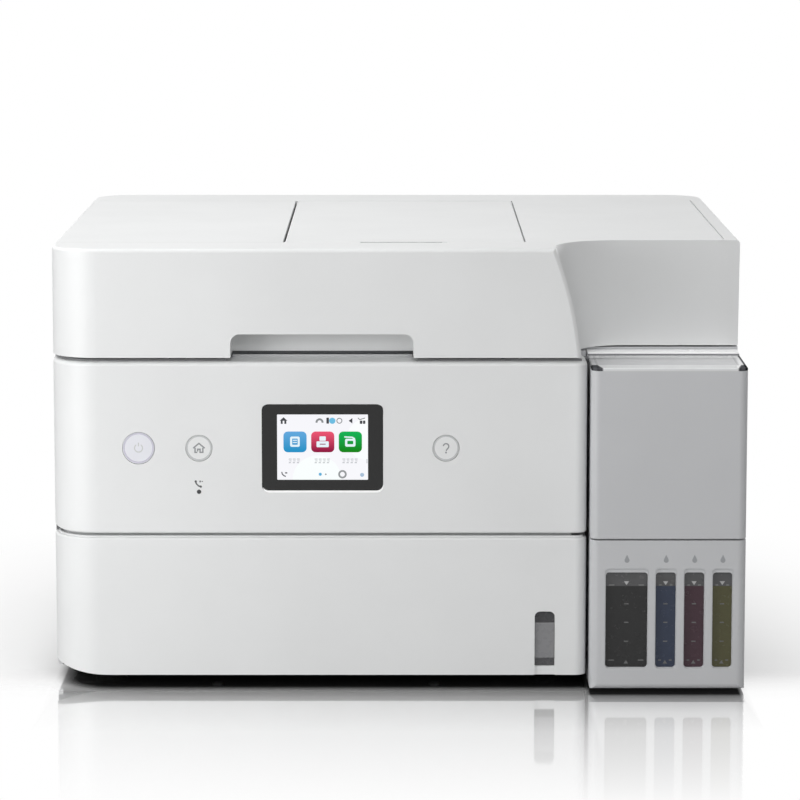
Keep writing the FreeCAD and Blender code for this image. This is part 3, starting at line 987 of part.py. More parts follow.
def pulley(x, tail):
    wheel = rod_y(PULLEY_R, belt_y0 - 0.2, belt_y1 + 0.2, x, PULLEY_Z)
    flange = rod_y(PULLEY_R + 2.4, belt_y0 - 1.4, belt_y0 - 0.4, x, PULLEY_Z)
    return join(wheel, flange, rod_y(PULLEY_SHAFT, belt_y0 - 1.4, CHASSIS_Y + tail, x, PULLEY_Z))


save("drive_pulley", pulley(PULLEY_X, PLATE))
save("idler_pulley", pulley(-PULLEY_X, PLATE + 0.5))
motor = rod_y(9, CHASSIS_Y + PLATE, CHASSIS_Y + PLATE + 26, PULLEY_X, PULLEY_Z)
save("drive_motor", soften(motor, 1.2, lambda e: e.BoundBox.YMin > CHASSIS_Y + PLATE + 20))

# Electronics at the back: main board with sockets, power supply with its inlet
BOARD_BACK = BACK - 23.9
main_board = box(LEFT + WALL, LEFT + 83.5, BOARD_BACK - 1.6, BOARD_BACK, DECK_TOP + 5, DECK_TOP + 49)
save("main_board", main_board)
x0, x1, z0, z1 = SOCKET_PLATE
sockets = rounded_front(x0 + 0.1, x1 - 0.1, z0 + 0.1, z1 - 0.1, 1.9, BACK - 2.4, BACK - 0.8)
for x, z, wide, tall in SOCKETS.values():
    body = box(x - wide / 2 + 0.1, x + wide / 2 - 0.1, BOARD_BACK, BACK - 0.8, z - tall / 2 + 0.1,
               z + tall / 2 - 0.1)
    sockets = join(sockets, body)
for x, z, wide, tall in SOCKETS.values():
    mouth = box(x - wide / 2 + 1.2, x + wide / 2 - 1.2, BACK - 10, BACK + 1, z - tall / 2 + 1.2,
                z + tall / 2 - 1.2)
    sockets = cut(sockets, mouth)
save("rear_sockets", sockets)
PSU_BACK = BACK - 23.5
supply = box(RIGHT - 69.5, RIGHT - 7.5, TANK_BACK + 60, PSU_BACK, PLATE_TOP, DECK_BOTTOM - 10)
supply = soften(supply, 2, lambda e: e.BoundBox.ZLength > 1)
x, z, wide, tall = INLET
inlet = rounded_front(x - wide / 2 + 0.1, x + wide / 2 - 0.1, z - tall / 2 + 0.1, z + tall / 2 - 0.1, 5.4,
                      PSU_BACK, BACK - 0.4)
inlet = cut(inlet, rounded_front(x - 8, x + 8, z - 4.5, z + 4.5, 4.4, BACK - 12, BACK + 1))
for pin_x in (x - 3.3, x + 3.3):
    inlet = join(inlet, rod_y(1.2, BACK - 12.5, BACK - 3, pin_x, z))
save("power_supply", join(supply, inlet))
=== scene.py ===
import bpy
import bmesh
import math
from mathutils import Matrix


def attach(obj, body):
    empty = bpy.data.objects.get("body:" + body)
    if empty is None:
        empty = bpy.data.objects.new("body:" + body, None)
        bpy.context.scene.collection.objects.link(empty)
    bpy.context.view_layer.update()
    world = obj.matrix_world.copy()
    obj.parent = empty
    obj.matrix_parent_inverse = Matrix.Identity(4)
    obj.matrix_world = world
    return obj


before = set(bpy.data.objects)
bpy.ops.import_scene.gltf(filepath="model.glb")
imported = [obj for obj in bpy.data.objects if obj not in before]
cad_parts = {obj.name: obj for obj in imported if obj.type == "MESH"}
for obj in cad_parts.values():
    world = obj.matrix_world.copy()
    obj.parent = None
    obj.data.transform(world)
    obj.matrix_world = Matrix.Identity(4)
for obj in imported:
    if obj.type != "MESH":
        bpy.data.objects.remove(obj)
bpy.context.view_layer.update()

# Bottom case and feet: the black floor pan that everything is screwed to, from the front a dark
# line under the cassette. Textured ABS with pressed-in rubber feet; its front left corner is
# faced in the pale tone of the covers.


def tone(red, green, blue):
    """Colour from 0-255 picture values to linear light."""
    values = [channel / 255 for channel in (red, green, blue)]
    return tuple(v / 12.92 if v <= 0.04045 else ((v + 0.055) / 1.055) ** 2.4 for v in values) + (1.0,)


def darker(colour, share):
    return tuple(channel * share for channel in colour[:3]) + (1.0,)


def shader(name):
    """New material with its shader and the piece's own coordinates."""
    material = bpy.data.materials.new(name)
    material.use_nodes = True
    tree = material.node_tree
    surface = tree.nodes["Principled BSDF"]
    place = tree.nodes.new("ShaderNodeTexCoord").outputs["Object"]
    return material, tree, surface, place


def axis(tree, place, letter):
    parts = tree.nodes.new("ShaderNodeSeparateXYZ")
    tree.links.new(place, parts.inputs["Vector"])
    return parts.outputs[letter]


def noise(tree, place, scale, detail=2.0, rough=0.5):
    node = tree.nodes.new("ShaderNodeTexNoise")
    node.inputs["Scale"].default_value = scale
    node.inputs["Detail"].default_value = detail
    node.inputs["Roughness"].default_value = rough
    tree.links.new(place, node.inputs["Vector"])
    return node.outputs["Fac"]


def ramp(tree, value, stops, interpolation="LINEAR"):
    node = tree.nodes.new("ShaderNodeValToRGB")
    node.color_ramp.interpolation = interpolation
    while len(node.color_ramp.elements) < len(stops):
        node.color_ramp.elements.new(0.5)
    for element, (position, colour) in zip(node.color_ramp.elements, stops):
        element.position = position
        element.color = colour
    tree.links.new(value, node.inputs["Fac"])
    return node.outputs["Color"]


def mottled(tree, value, low, high):
    """Two close colours that follow a noise."""
    return ramp(tree, value, [(0.3, low), (0.7, high)])


def spread(tree, value, low, high):
    """Stretch a 0-1 value over low to high."""
    node = tree.nodes.new("ShaderNodeMapRange")
    node.inputs["To Min"].default_value = low
    node.inputs["To Max"].default_value = high
    tree.links.new(value, node.inputs["Value"])
    return node.outputs["Result"]


def rise(tree, value, low, high, first=0.0, last=1.0):
    """Step from first to last between two values of a coordinate, in millimetres."""
    node = tree.nodes.new("ShaderNodeMapRange")
    node.inputs["From Min"].default_value = low / 1000
    node.inputs["From Max"].default_value = high / 1000
    node.inputs["To Min"].default_value = first
    node.inputs["To Max"].default_value = last
    tree.links.new(value, node.inputs["Value"])
    return node.outputs["Result"]


def past(tree, value, edge, soft=0.4):
    """One where a coordinate lies past an edge, with a soft border in millimetres."""
    return rise(tree, value, edge - soft / 2, edge + soft / 2)


def short_of(tree, value, edge, soft=0.4):
    """One where a coordinate lies short of an edge."""
    return rise(tree, value, edge - soft / 2, edge + soft / 2, 1.0, 0.0)


def joined(tree, first, second, operation="MULTIPLY"):
    """Two masks in one: the product, where both hold, unless another operation is named."""
    node = tree.nodes.new("ShaderNodeMath")
    node.operation = operation
    tree.links.new(first, node.inputs[0])
    tree.links.new(second, node.inputs[1])
    return node.outputs[0]


def blended(tree, share, first, second):
    node = tree.nodes.new("ShaderNodeMix")
    node.data_type = "RGBA"
    tree.links.new(share, node.inputs["Factor"])
    tree.links.new(first, node.inputs["A"])
    tree.links.new(second, node.inputs["B"])
    return node.outputs["Result"]


def surfaced(tree, surface, colour, gloss):
    """Lead a colour and a roughness into the shader."""
    tree.links.new(colour, surface.inputs["Base Color"])
    tree.links.new(gloss, surface.inputs["Roughness"])


def relief(tree, surface, value, strength, depth):
    node = tree.nodes.new("ShaderNodeBump")
    node.inputs["Strength"].default_value = strength
    node.inputs["Distance"].default_value = depth
    tree.links.new(value, node.inputs["Height"])
    tree.links.new(node.outputs["Normal"], surface.inputs["Normal"])


def moulded(name, colour, gloss=0.45, grain=0.12, pitch=1500.0, coat=0.0):
    """Injection-moulded plastic: faint flow shading, spark-eroded grain, slightly uneven gloss."""
    material, tree, surface, place = shader(name)
    flow = noise(tree, place, 14.0, 3.0)
    uneven = spread(tree, noise(tree, place, 60.0), gloss - 0.05, gloss + 0.05)
    surfaced(tree, surface, mottled(tree, flow, darker(colour, 0.975), darker(colour, 1.015)), uneven)
    relief(tree, surface, noise(tree, place, pitch, 2.0), grain, 0.00006)
    surface.inputs["Coat Weight"].default_value = coat
    surface.inputs["Coat Roughness"].default_value = 0.08
    return material


def two_tone(material, other, region):
    """Paint a moulding in a second colour in a region of its own coordinates."""
    tree = material.node_tree
    surface = tree.nodes["Principled BSDF"]
    place = tree.nodes.new("ShaderNodeTexCoord").outputs["Object"]
    paint = mottled(tree, noise(tree, place, 40.0), darker(other, 0.93), other)
    shell = surface.inputs["Base Color"].links[0].from_socket
    tree.links.new(blended(tree, region(tree, place), shell, paint), surface.inputs["Base Color"])


def dress(material, *nodes):
    for name in nodes:
        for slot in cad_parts[name].material_slots:
            slot.material = material


def pale_corner(tree, place):
    left = short_of(tree, axis(tree, place, "X"), -185.0)
    return joined(tree, left, short_of(tree, axis(tree, place, "Y"), -125.3))


pan = moulded("black_case", tone(30, 30, 31), 0.55, 0.3, 900.0)
two_tone(pan, tone(222, 223, 224), pale_corner)
dress(pan, "bottom_case")
dress(moulded("foot_rubber", tone(38, 38, 38), 0.8, 0.5, 500.0), "rubber_feet")

# Outer covers: white high-impact polystyrene mouldings, hung on the bottom case and on each
# other with hidden clips. Fine matt texture all over, so they only shade softly.
WHITE = tone(229, 230, 230)
white_cover = moulded("white_cover", WHITE)
dress(white_cover, "side_cover_left", "side_cover_right", "rear_panel", "rear_door")
dress(white_cover, "cover_housing", "adf_cover", "adf_tray", "control_panel", "cassette_front")

# Seam lips: low ridges moulded along the top edges of the cassette front and of the panel, a
# little behind the face, so that the joints above them stay narrow and keep dust out. The panel's
# ridges and the rear ridge in the finger recess are grey as painted shade, and a dark strip under
# the document cover is a painted shadow line at the back of the finger recess.


def reach(node):
    """Lowest and highest corner of a part's own solid, in millimetres."""
    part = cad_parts[node]
    corners = [part.matrix_world @ vertex.co for vertex in part.data.vertices]
    return [[round(extreme(shaded_corners[i] for shaded_corners in corners) * 1000, 3) for i in range(3)]
            for extreme in (min, max)]


def placed(name, mesh, body):
    """Object for a finished mesh, riding on a body."""
    piece = bpy.data.objects.new(name, mesh)
    bpy.context.collection.objects.link(piece)
    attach(piece, body)
    return piece


def closed(name, work, material, body):
    """Piece from a mesh under work, its faces turned outward."""
    bmesh.ops.recalc_face_normals(work, faces=work.faces)
    mesh = bpy.data.meshes.new(name)
    work.to_mesh(mesh)
    work.free()
    mesh.materials.append(material)
    return placed(name, mesh, body)


def lip(name, path, low, high, wide, material, body):
    """Ridge with a bevelled top along a path (x, y), all in millimetres."""
    half = wide / 2
    edge = min(wide / 4, 0.4)
    profile = [(-half, low), (-half, high - edge), (edge - half, high)]
    profile += [(half - edge, high), (half, high - edge), (half, low)]
    work = bmesh.new()
    sections = []
    for i, (x, y) in enumerate(path):
        x0, y0 = path[max(i - 1, 0)]
        x1, y1 = path[min(i + 1, len(path) - 1)]
        run = math.hypot(x1 - x0, y1 - y0)
        nx, ny = (y1 - y0) / run, (x0 - x1) / run
        points = [((x + nx * s) / 1000, (y + ny * s) / 1000, z / 1000) for s, z in profile]
        sections.append([work.verts.new(point) for point in points])
    for here, there in zip(sections, sections[1:]):
        for i in range(len(profile)):
            j = (i + 1) % len(profile)
            work.faces.new((here[i], here[j], there[j], there[i]))
    work.faces.new(sections[0])
    work.faces.new(sections[-1])
    return closed(name, work, material, body)


def bend(x, y, radius, start, end, steps=14):
    turn = [math.radians(start + (end - start) * i / steps) for i in range(steps + 1)]
    return [(x + radius * math.cos(a), y + radius * math.sin(a)) for a in turn]


(LEFT, FRONT, _), (BAY, _, PANEL_TOP) = reach("control_panel")
CASSETTE_TOP = reach("cassette_front")[1][2]
COVER_UNDERSIDE = reach("cover_housing")[0][2]
CORNER = 25.0
BAY_CORNER = 6.0
LIP_END = -136.0
ROOT = 0.2


def round_the_left(inset):
    """Path along the left side and round the front left corner, inset from the face."""
    return [(LEFT + inset, LIP_END)] + bend(LEFT + CORNER, FRONT + CORNER, CORNER - inset, 180, 270)


CASSETTE_LIP, CASSETTE_RIB, PANEL_LIP, REAR_LIP, SHADOW_LINE = 2.4, 6.5, 5.2, 19.8, 21.75
around = round_the_left(CASSETTE_LIP)
around += bend(BAY - BAY_CORNER, FRONT + BAY_CORNER, BAY_CORNER - CASSETTE_LIP, 270, 360, 6)
around += [(BAY - CASSETTE_LIP, LIP_END)]
lip("cassette_lip", around, CASSETTE_TOP - ROOT, CASSETTE_TOP + 0.9, 1.2, white_cover, "cassette")
along = round_the_left(CASSETTE_RIB) + [(BAY - 8.0, FRONT + CASSETTE_RIB)]
rib_grey = moulded("rib_grey", tone(196, 197, 198), 0.6)
lip("cassette_rib", along, CASSETTE_TOP - ROOT, CASSETTE_TOP + 2.0, 1.2, rib_grey, "cassette")
# The panel's ridges are grey as painted shade in the joints above them.
painted_seam_shade = moulded("painted_seam_shade", tone(132, 133, 134), 0.6)
left_path = round_the_left(PANEL_LIP) + [(-92.0, FRONT + PANEL_LIP)]
right_path = [(10.5, FRONT + PANEL_LIP), (BAY - 3.0, FRONT + PANEL_LIP)]
rear_path = [(-89.7, FRONT + REAR_LIP), (7.8, FRONT + REAR_LIP)]
lip("panel_lip_left", left_path, PANEL_TOP - ROOT, PANEL_TOP + 1.05, 1.2, painted_seam_shade, "panel")
lip("panel_lip_right", right_path, PANEL_TOP - ROOT, PANEL_TOP + 1.05, 1.2, painted_seam_shade, "panel")
# The rear ridge in the finger recess is grey as painted shade under the document cover.
painted_recess_shade = moulded("painted_recess_shade", tone(188, 189, 190), 0.6)
lip("panel_lip_rear", rear_path, PANEL_TOP - ROOT, PANEL_TOP + 1.7, 0.6, painted_recess_shade, "panel")
# Painted shadow line: a dark strip under the document cover at the back of the finger recess.
shadow_line_path = [(-90.0, FRONT + SHADOW_LINE), (8.1, FRONT + SHADOW_LINE)]
painted_shadow_line = moulded("painted_shadow_line", tone(74, 75, 76), 0.7)
lip("recess_shadow_line", shadow_line_path, COVER_UNDERSIDE + 0.05, COVER_UNDERSIDE + 1.1, 0.5, painted_shadow_line, "cover")

# Notch shade: a thin grey strip along the edge of the finger notch in the middle of the feeder
# tray lid, just below the top face, painted shade that stands for the notch's shaded wall.
NOTCH_SHADE_Y = -122.72
painted_notch_shade = moulded("painted_notch_shade", tone(196, 197, 197), 0.6)
TOP = reach("adf_tray")[1][2]
lip("notch_shade_strip", [(-20.4, NOTCH_SHADE_Y), (24.0, NOTCH_SHADE_Y)], TOP - 1.5, TOP - 0.03, 0.4, painted_notch_shade, "adf_tray")

# Front frame, middle deck and output tray: the inner walls seen when the panel is tipped up.
# Mid-grey mouldings without texture, clipped to the bottom case; the tray runs in the deck and is
# a little lighter because hands touch it.
inner_grey = moulded("inner_grey", tone(120, 121, 123), 0.5, 0.08, 1100.0)
dress(inner_grey, "front_frame", "middle_deck", "panel_back")
dress(moulded("tray_grey", tone(172, 173, 176), 0.4, 0.06, 1300.0), "output_tray")

# Print works: folded zinc-plated steel with brushed streaks, ground shafts and black mouldings.
# The chassis is screwed to the deck and everything that turns runs in it.


def brushed(name, colour, gloss, along):
    """Metal with fine streaks along one direction."""
    material, tree, surface, place = shader(name)
    lay = tree.nodes.new("ShaderNodeMapping")
    lay.inputs["Scale"].default_value = along
    tree.links.new(place, lay.inputs["Vector"])
    streaks = noise(tree, lay.outputs["Vector"], 1.0, 4.0, 0.65)
    sheen = ramp(tree, streaks, [(0.25, darker(colour, 0.86)), (0.75, colour)])
    surfaced(tree, surface, sheen, spread(tree, streaks, gloss - 0.07, gloss + 0.09))
    relief(tree, surface, streaks, 0.08, 0.00003)
    surface.inputs["Metallic"].default_value = 1.0
    return material


FINE = 900.0
black_works = moulded("black_works", tone(52, 52, 54), 0.5, 0.2, 1000.0)
ground_steel = brushed("ground_steel", tone(196, 197, 200), 0.2, (FINE, FINE, FINE))
roller_rubber = moulded("roller_rubber", tone(62, 62, 65), 0.7, 0.45, 800.0)
feeder_rubber = moulded("feeder_rubber", tone(96, 97, 100), 0.7, 0.45, 800.0)
dress(brushed("zinc_plate", tone(186, 187, 190), 0.34, (12.0, FINE, FINE)), "chassis")
dress(ground_steel, "scan_rail", "drive_motor")
dress(brushed("turned_brass", tone(206, 176, 110), 0.25, (FINE, 60.0, FINE)), "drive_pulley")
dress(moulded("pulley_nylon", tone(206, 204, 196), 0.35), "idler_pulley")
dress(black_works, "platen", "capping_station", "carriage")
dress(moulded("head_grey", tone(74, 75, 78), 0.3), "print_head")
dress(moulded("belt_rubber", tone(34, 34, 34), 0.75, 0.5, 700.0), "carriage_belt")
dress(roller_rubber, "feed_roller", "eject_roller", "pickup_roller")
dress(feeder_rubber, "adf_feed_roller", "adf_pick_roller")

# Electronics: green circuit board, black socket block and a grey boxed power supply with the
# mains inlet. They hang on posts of the bottom case and reach out through the rear wall.
board, tree, surface, place = shader("circuit_board")
tracks = tree.nodes.new("ShaderNodeTexVoronoi")
tracks.distance = "CHEBYCHEV"
tracks.inputs["Scale"].default_value = 260.0
tree.links.new(place, tracks.inputs["Vector"])
cells = tracks.outputs["Distance"]
lacquer = ramp(tree, cells, [(0.25, tone(22, 92, 52)), (0.6, tone(14, 70, 40))])
surfaced(tree, surface, lacquer, spread(tree, cells, 0.25, 0.5))
dress(board, "main_board")
dress(moulded("socket_black", tone(40, 40, 41), 0.4), "rear_sockets")
dress(moulded("supply_grey", tone(58, 58, 60), 0.5), "power_supply")

# Screws: zinc-plated cross-head screws hold the floor pan to the frame, the chassis flange to
# the deck and the base plate in the document cover. Only their heads show.


def node_sheet(name, settings, result):
    """Empty tree of geometry nodes with its settings, their socket keys and its two ends."""
    tree = bpy.data.node_groups.new(name, "GeometryNodeTree")
    keys = {}
    for label, kind in settings:
        socket = tree.interface.new_socket(label, in_out="INPUT", socket_type="NodeSocket" + kind)
        keys[label] = socket.identifier
    tree.interface.new_socket(result, in_out="OUTPUT", socket_type="NodeSocketGeometry")
    return tree, keys, tree.nodes.new("NodeGroupInput"), tree.nodes.new("NodeGroupOutput")


def wire(tree, *links):
    """Join sockets, each link given as node, output, node, input."""
    for source, out, target, into in links:
        tree.links.new(source.outputs[out], target.inputs[into])


def scaled(tree, source, out, share):
    node = tree.nodes.new("ShaderNodeMath")
    node.operation = "MULTIPLY"
    node.inputs[1].default_value = share
    wire(tree, (source, out, node, 0))
    return node


SLIT_LONG, SLIT_WIDE, SLIT_LIFT = 1.2, 0.28, 0.6
settings = [("Places", "Geometry"), ("Radius", "Float"), ("Height", "Float"), ("Turn", "Vector")]
settings += [("Look", "Material")]
screw_tree, screw_keys, inlet, outlet = node_sheet("screw_heads", settings, "Heads")
head = screw_tree.nodes.new("GeometryNodeMeshCylinder")
head.inputs["Vertices"].default_value = 24
crossed = screw_tree.nodes.new("GeometryNodeMeshBoolean")
crossed.operation = "DIFFERENCE"
for long_x, long_y in ((SLIT_LONG, SLIT_WIDE), (SLIT_WIDE, SLIT_LONG)):
    size = screw_tree.nodes.new("ShaderNodeCombineXYZ")
    lift = screw_tree.nodes.new("ShaderNodeCombineXYZ")
    slit = screw_tree.nodes.new("GeometryNodeMeshCube")
    raised = screw_tree.nodes.new("GeometryNodeTransform")
    wire(screw_tree, (scaled(screw_tree, inlet, "Radius", long_x), 0, size, "X"),
         (scaled(screw_tree, inlet, "Radius", long_y), 0, size, "Y"), (inlet, "Height", size, "Z"),
         (scaled(screw_tree, inlet, "Height", SLIT_LIFT), 0, lift, "Z"), (size, 0, slit, "Size"),
         (slit, "Mesh", raised, "Geometry"), (lift, 0, raised, "Translation"),
         (raised, "Geometry", crossed, "Mesh 2"))
facing = screw_tree.nodes.new("FunctionNodeEulerToRotation")
points = screw_tree.nodes.new("GeometryNodeMeshToPoints")
heads = screw_tree.nodes.new("GeometryNodeInstanceOnPoints")
real = screw_tree.nodes.new("GeometryNodeRealizeInstances")
look = screw_tree.nodes.new("GeometryNodeSetMaterial")
wire(screw_tree, (inlet, "Radius", head, "Radius"), (inlet, "Height", head, "Depth"),
     (head, "Mesh", crossed, "Mesh 1"), (inlet, "Turn", facing, "Euler"),
     (inlet, "Places", points, "Mesh"), (points, "Points", heads, "Points"),
     (crossed, "Mesh", heads, "Instance"), (facing, "Rotation", heads, "Rotation"),
     (heads, "Instances", real, "Geometry"), (real, "Geometry", look, "Geometry"),
     (inlet, "Look", look, "Material"), (look, "Geometry", outlet, "Heads"))


def grown(name, places, tree, keys, body, **values):
    """Plain mesh from a node tree over points in millimetres, riding on a body."""
    mesh = bpy.data.meshes.new(name + "_places")
    mesh.from_pydata([(x / 1000, y / 1000, z / 1000) for x, y, z in places], [], [])
    seed = bpy.data.objects.new(name + "_places", mesh)
    bpy.context.collection.objects.link(seed)
    growth = seed.modifiers.new("growth", "NODES")
    growth.node_group = tree
    for label, value in values.items():
        growth[keys[label]] = value
    shape = seed.evaluated_get(bpy.context.evaluated_depsgraph_get())
    done = bpy.data.meshes.new_from_object(shape)
    bpy.data.objects.remove(seed)
    return placed(name, done, body)


screw_zinc = brushed("screw_zinc", tone(176, 177, 180), 0.3, (FINE, FINE, FINE))
FLOOR_UNDERSIDE, FLANGE_TOP, PLATE_UNDERSIDE = 6.4, 87.6, 181.0
DOWN = math.pi
floor_places = [(-120, 150), (0, 158), (110, 158), (-178, 20), (178, 20), (-100, -122), (20, -122)]
grown("floor_screws", [(x, y, FLOOR_UNDERSIDE) for x, y in floor_places], screw_tree, screw_keys,
      "base", Radius=0.0032, Height=0.0012, Turn=(DOWN, 0.0, 0.0), Look=screw_zinc)
grown("flange_screws", [(x, 71, FLANGE_TOP) for x in (-150, -75, 0, 75, 130)], screw_tree, screw_keys,
      "base", Radius=0.0028, Height=0.0012, Turn=(0.0, 0.0, 0.4), Look=screw_zinc)
plate_places = [(-176, -110), (-176, 0), (-176, 110), (176, -40), (176, 110), (0, 156)]
grown("plate_screws", [(x, y, PLATE_UNDERSIDE) for x, y in plate_places], screw_tree, screw_keys,
      "cover", Radius=0.0026, Height=0.0004, Turn=(DOWN, 0.0, 0.3), Look=screw_zinc)

# Paper cassette: the tray and its guides are grey polystyrene, the guides lighter so that the
# hand finds them. Small sliding feet hold them in slots of the floor.
guide_grey = moulded("guide_grey", tone(196, 197, 200), 0.4, 0.1, 1200.0)
dress(moulded("cassette_grey", tone(150, 151, 154), 0.45, 0.1, 1000.0), "cassette_tray")
dress(guide_grey, "paper_guide_left", "paper_guide_right", "paper_guide_end", "adf_edge_guide")

# Size ticks: raised lines on the cassette floor and printed lines beside the scanner glass, set
# at an even step, that show where common sheets end.
settings = [("Places", "Geometry"), ("Size", "Vector"), ("Step", "Vector"), ("Count", "Int")]
settings += [("Look", "Material")]
tick_tree, tick_keys, inlet, outlet = node_sheet("tick_row", settings, "Ticks")
row = tick_tree.nodes.new("GeometryNodeMeshLine")
block = tick_tree.nodes.new("GeometryNodeMeshCube")
ticked = tick_tree.nodes.new("GeometryNodeInstanceOnPoints")
rows = tick_tree.nodes.new("GeometryNodeInstanceOnPoints")
real = tick_tree.nodes.new("GeometryNodeRealizeInstances")
look = tick_tree.nodes.new("GeometryNodeSetMaterial")
wire(tick_tree, (inlet, "Count", row, "Count"), (inlet, "Step", row, "Offset"),
     (inlet, "Size", block, "Size"), (row, "Mesh", ticked, "Points"), (block, "Mesh", ticked, "Instance"),
     (inlet, "Places", rows, "Points"), (ticked, "Instances", rows, "Instance"),
     (rows, "Instances", real, "Geometry"), (real, "Geometry", look, "Geometry"),
     (inlet, "Look", look, "Material"), (look, "Geometry", outlet, "Ticks"))
tick_light = moulded("tick_light", tone(190, 191, 194))
frame_print = moulded("frame_print", tone(118, 119, 122), 0.5)
grown("floor_ticks", [(-150, -84, 12.45)], tick_tree, tick_keys, "cassette",
      Size=(0.0006, 0.006, 0.0003), Step=(0.015, 0.0, 0.0), Count=15, Look=tick_light)
grown("rear_ticks", [(-130, 123, 180.2)], tick_tree, tick_keys, "scanner",
      Size=(0.0005, 0.004, 0.0002), Step=(0.02, 0.0, 0.0), Count=15, Look=frame_print)
grown("side_ticks", [(-139, -90, 180.2)], tick_tree, tick_keys, "scanner",
      Size=(0.004, 0.0005, 0.0002), Step=(0.0, 0.02, 0.0), Count=11, Look=frame_print)

# Paper-level window: a smoked insert behind the slot in the cassette front. Its middle shows
# the grey of the paper pointer, the bottom step is dark.
WINDOW_SPAN = 50.0
POINTER_LOW, POINTER_HIGH, POINTER_EDGE = 16.6, 35.0, 35.85
smoke, tree, surface, place = shader("level_smoke")
stops = [(0.0, tone(84, 84, 86)), (POINTER_LOW / WINDOW_SPAN, tone(134, 134, 136)),
         (POINTER_HIGH / WINDOW_SPAN, tone(142, 142, 144)), (POINTER_EDGE / WINDOW_SPAN, tone(70, 70, 72))]
shown = ramp(tree, rise(tree, axis(tree, place, "Z"), 0.0, WINDOW_SPAN), stops, "CONSTANT")
surfaced(tree, surface, shown, spread(tree, noise(tree, place, 300.0), 0.22, 0.34))
dress(smoke, "level_window")

# Ink tank unit: satin grey housing with four windows. Behind them stand blown clear tanks, so
# each window shows its ink up to the level and smoky grey above it.
GREY = tone(198, 199, 201)
dress(moulded("tank_grey", GREY, 0.42, 0.1, 1500.0), "tank_housing", "tank_lid")
INK_LEVEL = 58.4
INKS_LEFT, INKS_RIGHT = 100.0, 190.0
inks = [(INKS_LEFT, tone(44, 44, 44)), (136.72, tone(52, 60, 78)), (152.02, tone(68, 48, 56)),
        (167.32, tone(82, 80, 54))]
ink, tree, surface, place = shader("ink_in_tank")
stops = [((start - INKS_LEFT) / (INKS_RIGHT - INKS_LEFT), colour) for start, colour in inks]
filled = ramp(tree, rise(tree, axis(tree, place, "X"), INKS_LEFT, INKS_RIGHT), stops, "CONSTANT")
empty = mottled(tree, noise(tree, place, 90.0), tone(84, 84, 85), tone(92, 92, 93))
shown = blended(tree, past(tree, axis(tree, place, "Z"), INK_LEVEL), filled, empty)
surfaced(tree, surface, shown, spread(tree, noise(tree, place, 240.0), 0.2, 0.32))
dress(ink, "ink_tanks")

# Level marks and drops: pad-printed on the windows and on the housing. A filled triangle with
# two dashes marks full, three ticks the steps between, an upturned triangle the refill line.


def flat_mark(name, shapes, face_y, lift, material, body):
    """Thin printed or laid-on shapes (x, z) in millimetres, standing lift in front of face_y."""
    work = bmesh.new()
    for shape in shapes:
        loops = shape if isinstance(shape, tuple) else (shape,)
        rims = []
        for depth in (face_y - lift, face_y):
            layer = [[(x / 1000, depth / 1000, z / 1000) for x, z in loop] for loop in loops]
            rims.append([[work.verts.new(point) for point in loop] for loop in layer])
        count = len(loops[0])
        strips = list(zip(*rims))
        if len(loops) == 1:
            work.faces.new(rims[0][0])
            work.faces.new(rims[1][0])
        else:
            strips += rims
        for first, second in strips:
            for i in range(count):
                j = (i + 1) % count
                work.faces.new((first[i], first[j], second[j], second[i]))
    return closed(name, work, material, body)


def disc(x, z, radius, count=40, start=0.0, turn=360.0):
    steps = count if turn == 360.0 else count + 1
    angles = [math.radians(start + turn * i / count) for i in range(steps)]
    return [(x + radius * math.cos(a), z + radius * math.sin(a)) for a in angles]


def ring(x, z, outer, inner, count=56):
    return (disc(x, z, outer, count), disc(x, z, inner, count))


def bar(x0, x1, z0, z1):
    return [(x0, z0), (x1, z0), (x1, z1), (x0, z1)]


def tile(x0, x1, z0, z1, radius, steps=6):
    """Rectangle with round corners."""
    points = []
    for i, (x, z) in enumerate(((x1 - radius, z1 - radius), (x0 + radius, z1 - radius),
                                (x0 + radius, z0 + radius), (x1 - radius, z0 + radius))):
        points += disc(x, z, radius, steps, 90 * i, 90.0)
    return points


def drop(x, z, size):
    return disc(x, z, size, 20, 150, 240) + [(x, z + 2.3 * size)]


def printed(name, colour, gloss=0.4):
    """Printed ink film with a faint screen grain."""
    material, tree, surface, place = shader(name)
    grain = noise(tree, place, 2500.0)
    uneven = spread(tree, grain, gloss - 0.05, gloss + 0.08)
    surfaced(tree, surface, mottled(tree, grain, darker(colour, 0.93), colour), uneven)
    return material


